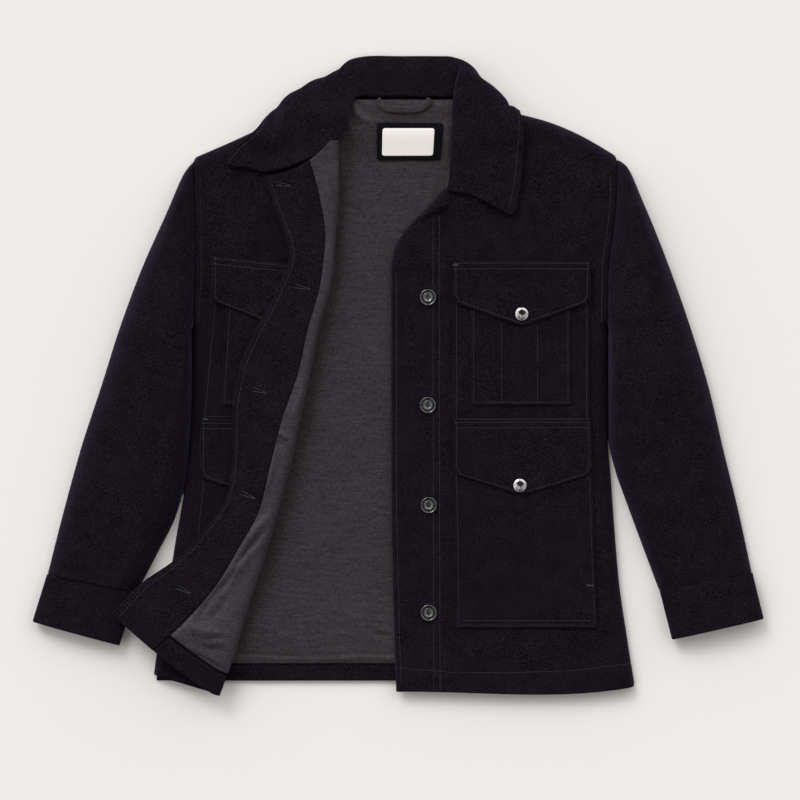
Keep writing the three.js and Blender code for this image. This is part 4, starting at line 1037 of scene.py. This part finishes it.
PATCH = [(-25.4, 303.8), (54.4, 303.2), (50.5, 259.2), (-25.4, 259.2)]
LABEL_CORNERS = [(-18.5, 297), (43.9, 297), (42, 264.8), (-19.2, 264.6)]
surface = patch(lining_top, GAP + TAPE / 2, PATCH)
cloth("label_patch", sampled(surface, 2)[0], 0.0, TAPE, DARK_TAPE)
surface = patch(lining_top, 2 * GAP + TAPE + LABEL / 2, LABEL_CORNERS)
cloth("label", sampled(surface, 2)[0], 0.0, LABEL, WHITE_TAPE)

LOOP_LINE = np.array([(-24.6, 332), (-17.5, 322.5), (-8.4, 320), (8, 319.6), (25.2, 320.4), (33, 325), (39, 332)])
LOOP_WIDTH = 8
LOOP_EASE = 1.6


def hanger_loop(u, v):
    u, v = np.broadcast_arrays(u, v)

    def at(t):
        return catmull(LOOP_LINE, np.clip(t, 0, 1).ravel()).reshape(u.shape + (2,))

    line, tangent = at(u), unit(at(u + 0.01) - at(u - 0.01))
    x = line[..., 0] + tangent[..., 1] * (v - 0.5) * LOOP_WIDTH
    y = line[..., 1] - tangent[..., 0] * (v - 0.5) * LOOP_WIDTH
    arch = 0.25 * (1 - (2 * v - 1) ** 2) + 0.8 * np.sin(np.pi * u)
    return stack(x, y, lining_top(line[..., 0], line[..., 1]) + GAP + TAPE / 2 + LOOP_EASE + arch)


cloth("hanger_loop", sampled(hanger_loop, 1.6)[0], 0.0, TAPE, GREY)

# Lines of stitching, in plan

edge_row = left_rows(np.linspace(0.43, 0.985, 60))
FRONT_EDGE = list(zip(edge_row.edge_x + 5, edge_row.edge_y))
PLACKET = [[(42, 194), (42, 0), (43, -376)], [(49.5, 190), (49.5, 0), (50.5, -376)]]
LEFT_HEM = [(-3, -350), (60, -355), (130, -356), (210, -353), (278, -345)]
hole_y = np.linspace(238, 66, 20)
LEFT_ARMHOLE = list(zip(body_sides(-hole_y).right - 7, hole_y))
RIGHT_ARMHOLE = list(zip(body_sides(-hole_y).left + 7, hole_y))
seam_y = np.linspace(262, 52, 24)
LEFT_SEAM = list(zip(body_sides(-seam_y).right + ARMHOLE_GAP, seam_y))
RIGHT_SEAM = list(zip(body_sides(-seam_y).left - ARMHOLE_GAP, seam_y))
LEFT_LINES = [FRONT_EDGE, *PLACKET, LEFT_HEM, LEFT_ARMHOLE]
RIGHT_LINES = [RIGHT_ARMHOLE]


def stitch(name, height, lines):
    threads = Threads(name)
    for line in lines:
        threads.line(on_panel(height, WOOL / 2 - THREAD_SINK), line)
    threads.done()


grid, u, v = sampled(left_front, 2.6, (0, 3), middle=(0.5, 0.7))
grid = round_end(grid, True, True, 8)
x, y = grid[..., 0], grid[..., 1]
bump = wool_bump(x, y, LEFT_LINES) * smooth(u, 0.8, 1.1) + seam_dip(x, y, LEFT_SEAM)
cloth("left_front", grid, bump)
stitch("left_front_stitching", left_height, LEFT_LINES)

# Right front with its facing, hem and lining

grid, u, v = sampled(right_front, 3.0, (0, 4))
x, y = grid[..., 0], grid[..., 1]
bump = np.where(u < 2, wool_bump(x, y, RIGHT_LINES) + seam_dip(x, y, RIGHT_SEAM), 0.0)
cloth("right_front", grid, bump)
stitch("right_front_stitching", right_height, RIGHT_LINES)

FACING_WIDTH = 60
FACING_STITCH_U = 0.93
HOLES = [(-137.5, 229), (-114, 105.6), (-166, -18), (-179, -143), (-256, -256)]
HOLE_TURN = [(0.98, -0.17), (0.98, -0.2), (0.96, -0.28), (0.92, -0.4), (0.9, -0.43)]
HOLE_REACH = 9
HOLE_SPREAD = (2.3, 0.5)
HOLE_DEPTH = 1.3
grid, u, v = (field[:, ::-1] for field in sampled(facing, 2.4, v_span=(0.001, 1)))
x, y = grid[..., 0], grid[..., 1]
stitch_dip = 0.45 * np.exp(-((((u - FACING_STITCH_U) * FACING_WIDTH) / STITCH_DIP) ** 2))
bump = 0.05 * np.sin(x * 1.7) * np.sin(y * 1.9) - stitch_dip
for (hx, hy), (tx, ty) in zip(HOLES, HOLE_TURN):
    along, across = (x - hx) * tx + (y - hy) * ty, (x - hx) * ty - (y - hy) * tx
    bump = bump - HOLE_DEPTH * np.exp(-((across / 1.3) ** 2)) * fade(np.abs(along), 7, 10)
cloth("right_facing", grid, bump)
facing_normals = grid_normals(grid).reshape(-1, 3)
facing_top = grid.reshape(-1, 3) + facing_normals * (WOOL / 2)


def on_facing(x, y):
    """The facing's own points nearest to places in plan, a little below its face, with their normals."""
    found = [int(np.argmin((facing_top[:, 0] - a) ** 2 + (facing_top[:, 1] - b) ** 2)) for a, b in zip(x, y)]
    normals = facing_normals[found]
    return stack(x, y, facing_top[found, 2]) - normals * 0.3, normals


threads = Threads("facing_stitching")
stitch_v = np.linspace(0.01, 0.99, 400)
stitch_u = np.full_like(stitch_v, FACING_STITCH_U)
normals = -normal_of(facing, stitch_u, stitch_v, (0, 1), (0, 1))
line = facing(stitch_u, stitch_v) + normals * (WOOL / 2 - THREAD_SINK)
length = run(line)[-1]
points, normals = follow(line, np.linspace(0, length, int(length / STITCH_PITCH)), line, normals)
threads.put(points, unit(normals))
threads.done()
holes = Threads("buttonhole_thread")
for (hx, hy), (tx, ty) in zip(HOLES, HOLE_TURN):
    for side in (-1, 1):
        wide, narrow = (side * spread for spread in HOLE_SPREAD)
        start = (hx - HOLE_REACH * tx + wide * ty, hy - HOLE_REACH * ty - wide * tx)
        end = (hx + HOLE_REACH * tx + narrow * ty, hy + HOLE_REACH * ty - narrow * tx)
        holes.bar(on_facing, start, end, 0.9 if side > 0 else 0.7)
holes.done()

grid = sampled(hem_strip, 2.4, (2.6, 4), (HEM_SHARE + HEM_SEAM, 1))[0][:, ::-1]
cloth("right_hem", grid)
grid = sampled(fold_lining, 1.45, (2.17, 4), (0.002, HEM_SHARE - HEM_SEAM), step_u=1.0)[0][:, ::-1]
cloth("right_lining", grid, 0.0, LINING, LIT_FOLD_GREY)

# Sleeves and cuffs

SLEEVES = (("left", LEFT_SLEEVE, 1, LEFT_SEAM), ("right", RIGHT_SLEEVE, -1, RIGHT_SEAM))
for side, rows, outward, seam in SLEEVES:
    top, under = sleeve_surfaces(side, rows, outward)
    grid = facing_up(sampled(top, 3.0, (0, 3))[0])
    x, y = grid[..., 0], grid[..., 1]
    cloth(side + "_sleeve_top", grid, wool_bump(x, y) + seam_dip(x, y, seam))
    cloth(side + "_sleeve_under", facing_up(sampled(under, 8)[0]))

CUFFS = {
    "left": cuff_ring((424.1, -236.5), (315.1, -257.5), (437.5, -291.5), (330, -316), 20),
    "right": cuff_ring((-420.1, -238.5), (-315.1, -259.5), (-437.5, -295), (-335.5, -323), 18),
}
CUFF_START = -0.014
CUFF_DEPTH = 55
CUFF_POINTS = 110
for side, surface in CUFFS.items():
    u, v = np.meshgrid(np.arange(CUFF_POINTS) / CUFF_POINTS, lerp(CUFF_START, 1, stations(CUFF_DEPTH, 2.6)))
    grid = surface(u, v)[:, :: 1 if side == "left" else -1]
    away = np.sum(grid_normals(grid, True) * (grid - grid.mean(axis=(0, 1))), axis=-1).mean()
    grid = grid[:, ::-1] if away < 0 else grid
    cloth(side + "_cuff", grid, wool_bump(grid[..., 0], grid[..., 1]) * (grid[..., 2] > 3), ring=True)

# Pockets: name, layer, corners in plan clockwise from the upper left, and lines of stitching on them

LEFT_POCKETS = [
    ("chest_panel", 1, [(66, 137), (230, 137), (230, -53.8), (66, -53.8)],
     [[(70, 88), (70, -49)], [(226, 88), (226, -49)], [(67, -51.5), (229, -51.5)]]),
    ("chest_pocket", 2, [(87, 120), (207, 120), (207, -35), (87, -35)],
     [[(90.5, 80), (90.5, -31.5), (203.5, -31.5), (203.5, 80)], [(124, 60), (124, -31)],
      [(167, 55), (167, 18)], [(167, 6), (167, -31)]]),
    ("chest_flap", 3, [(66, 137), (230, 137), (230, 89), (148, 59), (66, 89)],
     [[(68, 135), (228, 135)], [(68, 128.5), (228, 128.5)],
      [(69.5, 134), (69.5, 98), (74, 89), (148, 63), (222, 89), (226.5, 98), (226.5, 134)]]),
    ("lower_pocket", 1, [(67, -54.2), (231, -54.2), (239, -302), (70, -302)],
     [[(70.5, -118), (73, -298.5), (235.5, -298.5), (229, -118)], [(79, -293), (230, -293)]]),
    ("lower_flap", 2, [(67, -52.3), (231, -52.3), (232, -117), (148, -143.5), (67, -117)],
     [[(69, -55.5), (229, -55.5)], [(69, -62), (229, -62)],
      [(70.5, -56), (70.5, -109), (75, -117.5), (148, -140), (224, -117.5), (228.5, -109), (228, -58)]]),
]
RIGHT_POCKETS = [
    ("chest_panel", 1, [(-222, 141), (-98, 129), (-145, -54.3), (-235, -54.3)],
     [[(-219, 88), (-231.5, -49)], [(-231, -48.5), (-150, -48.5)]]),
    ("chest_pocket", 2, [(-204, 120), (-104, 112), (-142, -35), (-212, -35)],
     [[(-200.5, 85), (-208.5, -31.5), (-150, -31.5)]]),
    ("chest_flap", 3, [(-221, 143), (-99, 130), (-104, 76), (-143, 58), (-223, 91)],
     [[(-219, 140.5), (-120, 130)], [(-219, 134), (-120, 123.5)],
      [(-218, 140), (-219, 97), (-215, 90), (-150, 64)]]),
    ("lower_pocket", 1, [(-236, -54.8), (-147, -54.8), (-210, -300), (-253, -300)],
     [[(-232.5, -120), (-249, -290)]]),
    ("lower_flap", 2, [(-236, -52.6), (-147, -52.6), (-154, -145), (-160, -147), (-237, -122)],
     [[(-234, -56.5), (-160, -56.5)], [(-234, -63), (-160, -63)],
      [(-232.5, -57), (-233.5, -113), (-229, -121), (-165, -142)]]),
]


def pockets(side, height, table, clip, tacks):
    threads = Threads(side + "_pocket_stitching")
    for name, level, corners, lines in table:
        pointed = len(corners) == 5
        lift = layer(level) + (FLAP_EASE if pointed else 0)
        surface = flap(height, lift, corners, clip) if pointed else patch(height, lift, corners)
        grid = sampled(surface, 2.4)[0]
        bump = np.minimum(wool_bump(grid[..., 0], grid[..., 1], lines), 0.02)
        cloth(f"{side}_{name}", grid, bump, material=LIT_POCKET_NAVY)
        for line in lines:
            threads.line(on_panel(height, lift + WOOL / 2 - THREAD_SINK), line)
    for level, start, end in tacks:
        threads.bar(on_panel(height, layer(level) + WOOL / 2), start, end)
    threads.done()


LEFT_TACKS = [(1, (226, -251), (234, -251)), (3, (66.5, 133), (72, 133))]
pockets("left", left_height, LEFT_POCKETS, 8.0, LEFT_TACKS)
pockets("right", right_height, RIGHT_POCKETS, 4.0, [(1, (-234, -52), (-228, -52))])

# Collar

COLLAR_DEPTH = 105
COLLAR_LENGTH = 560
COLLAR_STITCH_U = 0.925
us, vs = stations(COLLAR_DEPTH, 1.9), stations(COLLAR_LENGTH, 2.4)
between = round_end(round_end(collar_grid(us, vs), True, True, 9), False, True, 5)
leaf_offset = grid_normals(between) * (COLLAR_WOOL / 2 + GAP)
outer, inner = between + leaf_offset, between - leaf_offset
for leaf in (outer, inner):
    leaf[..., 2] = np.maximum(leaf[..., 2], COLLAR_WOOL / 2 + 0.05)
stitch_dip = 0.4 * np.exp(-((((us - COLLAR_STITCH_U) * COLLAR_DEPTH) / STITCH_DIP) ** 2))
bump = 0.05 * np.sin(outer[..., 0] * 1.8) * np.sin(outer[..., 1] * 1.6) - stitch_dip
cloth("collar_top", outer, bump, COLLAR_WOOL)
cloth("collar_under", inner, 0.0, COLLAR_WOOL)
threads = Threads("collar_stitching")
column = int(np.argmin(np.abs(us - COLLAR_STITCH_U)))
normals = grid_normals(outer)[4:-5, column]
line = outer[4:-5, column] + normals * (COLLAR_WOOL / 2 - THREAD_SINK)
points, normals = follow(line, np.arange(0, run(line)[-1], STITCH_PITCH), line, normals)
threads.put(points, unit(normals))
threads.done()

# Buttons and snaps

ROUND_SIDES = 56
HOLE_SIDES = 14


def lathe(profile, sides=ROUND_SIDES):
    """Verts and faces of a turned body, its profile's radii and heights from the foot's rim to the top's middle."""
    angle = np.arange(sides) * 2 * np.pi / sides
    verts = np.concatenate([stack(r * np.cos(angle), r * np.sin(angle), z) for r, z in profile])
    faces = [
        (row + i, row + (i + 1) % sides, row + sides + (i + 1) % sides, row + sides + i)
        for row in range(0, (len(profile) - 1) * sides, sides)
        for i in range(sides)
    ]
    last = (len(profile) - 1) * sides
    return verts, [*faces, tuple(range(sides))[::-1], tuple(range(last, last + sides))]


def seat(place, x, y, verts, turn=0.0):
    on, normal = place(np.array([float(x)]), np.array([float(y)]))
    n = normal[0]
    a = unit(np.cross(np.array([math.sin(turn), math.cos(turn), 0.0]), n))
    return on[0] + verts[:, :1] * a + verts[:, 1:2] * np.cross(n, a) + verts[:, 2:] * n


BUTTON_PLACES = [(36, 94), (36, -35), (37, -155), (37, -284)]
BUTTON_PROFILE = [
    (8.6, 0), (9.5, 0.4), (9.85, 1.2), (9.9, 2.1), (9.8, 2.7), (9.5, 3.1), (9.1, 3.25), (8.7, 3.2), (8.3, 2.95),
    (8.15, 2.6), (8.0, 2.45), (7.8, 2.42), (6.6, 2.4), (5.6, 2.42), (5.45, 2.55), (5.3, 2.85), (5.1, 2.92),
    (4.8, 2.85), (4.0, 2.52), (3.2, 2.25), (2.4, 2.0), (1.6, 1.8), (0.8, 1.72), (0.01, 1.7),
]
HOLE_RADIUS = 1.0
HOLE_CENTRES = [
    (2.2 * math.cos(a), 2.2 * math.sin(a)) for a in (math.pi / 4 + k * math.pi / 2 for k in range(4))
]


def drilled(verts, faces):
    """The disc with its four holes."""
    body = new_object("drilled_body", verts - SHIFT, faces, PLASTIC)
    cutters = []
    for x, y in HOLE_CENTRES:
        drill, drill_faces = lathe([(HOLE_RADIUS, -3), (HOLE_RADIUS, 6)], HOLE_SIDES)
        cutter = new_object("cutter", drill + np.array([x, y, 0]) - SHIFT, drill_faces, PLASTIC)
        cut = body.modifiers.new("hole", "BOOLEAN")
        cut.operation, cut.object, cut.solver = "DIFFERENCE", cutter, "EXACT"
        cutters.append(cutter)
    bpy.context.view_layer.update()
    made = bpy.data.meshes.new_from_object(body.evaluated_get(bpy.context.evaluated_depsgraph_get()))
    points = np.array([v.co for v in made.vertices]) * 1000
    polygons = [tuple(p.vertices) for p in made.polygons]
    for obj in (body, *cutters):
        bpy.data.objects.remove(obj)
    return points, polygons


button_verts, button_faces = drilled(*lathe(BUTTON_PROFILE))
place = on_panel(left_height, WOOL / 2 + GAP)
threads = Threads("button_thread")
for number, (x, y) in enumerate(BUTTON_PLACES, 1):
    turn = 0.15 + 0.5 * number
    seated = seat(place, x, y, button_verts, turn)
    obj = new_object(f"button_disc_{number}", seated, button_faces, PLASTIC)
    obj.data.set_sharp_from_angle(angle=math.radians(40))
    stand_for(obj, f"button_{number}")
    ends = seat(place, x, y, np.array([(*centre, 2.4) for centre in HOLE_CENTRES]), turn)
    for a, b in ((0, 2), (1, 3)):
        span = ends[b] - ends[a]
        middle = (ends[a] + ends[b]) / 2
        threads.put(middle[None], np.array([[0.0, 0, 1]]), unit(span)[None], float(np.linalg.norm(span)), 0.34)
threads.done()

SNAP_PROFILE = [
    (6.6, 0), (7.8, 0.3), (8.0, 0.9), (7.8, 1.4), (7.4, 1.65), (6.9, 1.75), (6.4, 2.1), (5.9, 2.6), (5.2, 3.0),
    (4.3, 3.2), (3.2, 3.3), (2.0, 3.35), (1.0, 3.35), (0.01, 3.35),
]
# The worn cap is highest off its middle, flat round that place and sloping outside.
SNAP_APEX = SimpleNamespace(x=0.4, y=3.1, z=3.5, flat=4.3, slope=0.36)
SNAP_DENT = SimpleNamespace(x=-2.4, y=-2.0, width=1.2, depth=0.4)
SNAP_RIM_Z = 2.3
for name, (x, y), level in (("snap_chest", SNAP_PLACE, 3), ("snap_lower", (146, -131), 2)):
    verts, faces = lathe(SNAP_PROFILE)
    sx, sy, sz = verts.T
    beyond = np.hypot(sx - SNAP_APEX.x, sy - SNAP_APEX.y) - SNAP_APEX.flat
    cap = SNAP_APEX.z - SNAP_APEX.slope * np.maximum(beyond, 0)
    away = ((sx - SNAP_DENT.x) ** 2 + (sy - SNAP_DENT.y) ** 2) / SNAP_DENT.width**2
    cap = cap - SNAP_DENT.depth * np.exp(-away)
    verts[:, 2] = np.where(sz > SNAP_RIM_Z, np.maximum(cap, 1.0), sz)
    place = on_panel(left_height, layer(level) + FLAP_EASE + WOOL / 2 + 0.1)
    obj = new_object(name + "_cap", seat(place, x, y, verts), faces, METAL)
    stand_for(obj, name)

# Floor, light and camera

FRAME_WIDTH = 960
CAMERA_HEIGHT = 4000
SENSOR = 36
LOOK_AT = (2.4 + SHIFT[0], -28.8 + SHIFT[1])
FLOOR_REACH = 4
FLOOR_Z = -0.0003
WALL_LIGHT = 1.24
TOP_BIAS, LEFT_BIAS = 0.97, 0.2
KEY_PLACE = (-6.0, 10.0, 8.4)

scene = bpy.context.scene
floor_mesh = bpy.data.meshes.new("floor")
floor_corners = [(x * FLOOR_REACH, y * FLOOR_REACH, FLOOR_Z) for x, y in ((-1, -1), (1, -1), (1, 1), (-1, 1))]
floor_mesh.from_pydata(floor_corners, [], [(0, 1, 2, 3)])
floor = bpy.data.objects.new("floor", floor_mesh)
scene.collection.objects.link(floor)
floor_mesh.materials.append(new_material("floor", (0.80, 0.765, 0.745), 0.9))

# A white tent round the table: four bright walls with narrow gaps, open above the camera.
world = bpy.data.worlds.new("studio")
scene.world = world
world.use_nodes = True
tree = world.node_tree
split = new_node(tree, "SeparateXYZ", Vector=new_node(tree, "TexCoord").outputs["Generated"]).outputs
bands = [(0.0, 0.55), (0.22, 0.75), (0.34, 1.0), (0.84, 1.0), (0.91, 0.12), (1.0, 0.08)]
by_height = ramp(tree, split["Z"], [(place, (level, level, level)) for place, level in bands])
corner = calc(tree, "MULTIPLY", calc(tree, "ABSOLUTE", split["X"]), calc(tree, "ABSOLUTE", split["Y"]))
level_square = calc(tree, "SUBTRACT", 1.02, calc(tree, "MULTIPLY", split["Z"], split["Z"]))
corner = calc(tree, "MULTIPLY", calc(tree, "DIVIDE", corner, level_square), 2)
gaps = new_node(tree, "MapRange", Value=corner, From_Min=0.10, From_Max=0.26, To_Min=0.35, To_Max=1.0)
bias = calc(tree, "ADD", blend(tree, (split["Y"], TOP_BIAS), (split["X"], -LEFT_BIAS)), 1.0)
strength = calc(tree, "MULTIPLY", calc(tree, "MULTIPLY", by_height, gaps.outputs["Result"]), bias)
strength = calc(tree, "MULTIPLY", strength, WALL_LIGHT)
wire(tree, tree.nodes["Background"], Strength=strength, Color=(1.0, 0.995, 0.99, 1))

# A large soft light far off at the top left
light = bpy.data.lights.new("key", "SUN")
light.energy = 1.15
light.angle = 0.42
light.specular_factor = 0.3
key = bpy.data.objects.new("key", light)
key.rotation_euler = (-Vector(KEY_PLACE)).to_track_quat("-Z", "Y").to_euler()
scene.collection.objects.link(key)

camera = bpy.data.cameras.new("camera")
camera.sensor_width = SENSOR
camera.lens = SENSOR * CAMERA_HEIGHT / FRAME_WIDTH
camera.clip_end = 100
eye = bpy.data.objects.new("camera", camera)
eye.location = (LOOK_AT[0] / 1000, LOOK_AT[1] / 1000, CAMERA_HEIGHT / 1000 + 0.01)
scene.collection.objects.link(eye)
scene.camera = eye
scene.view_settings.view_transform = "Standard"
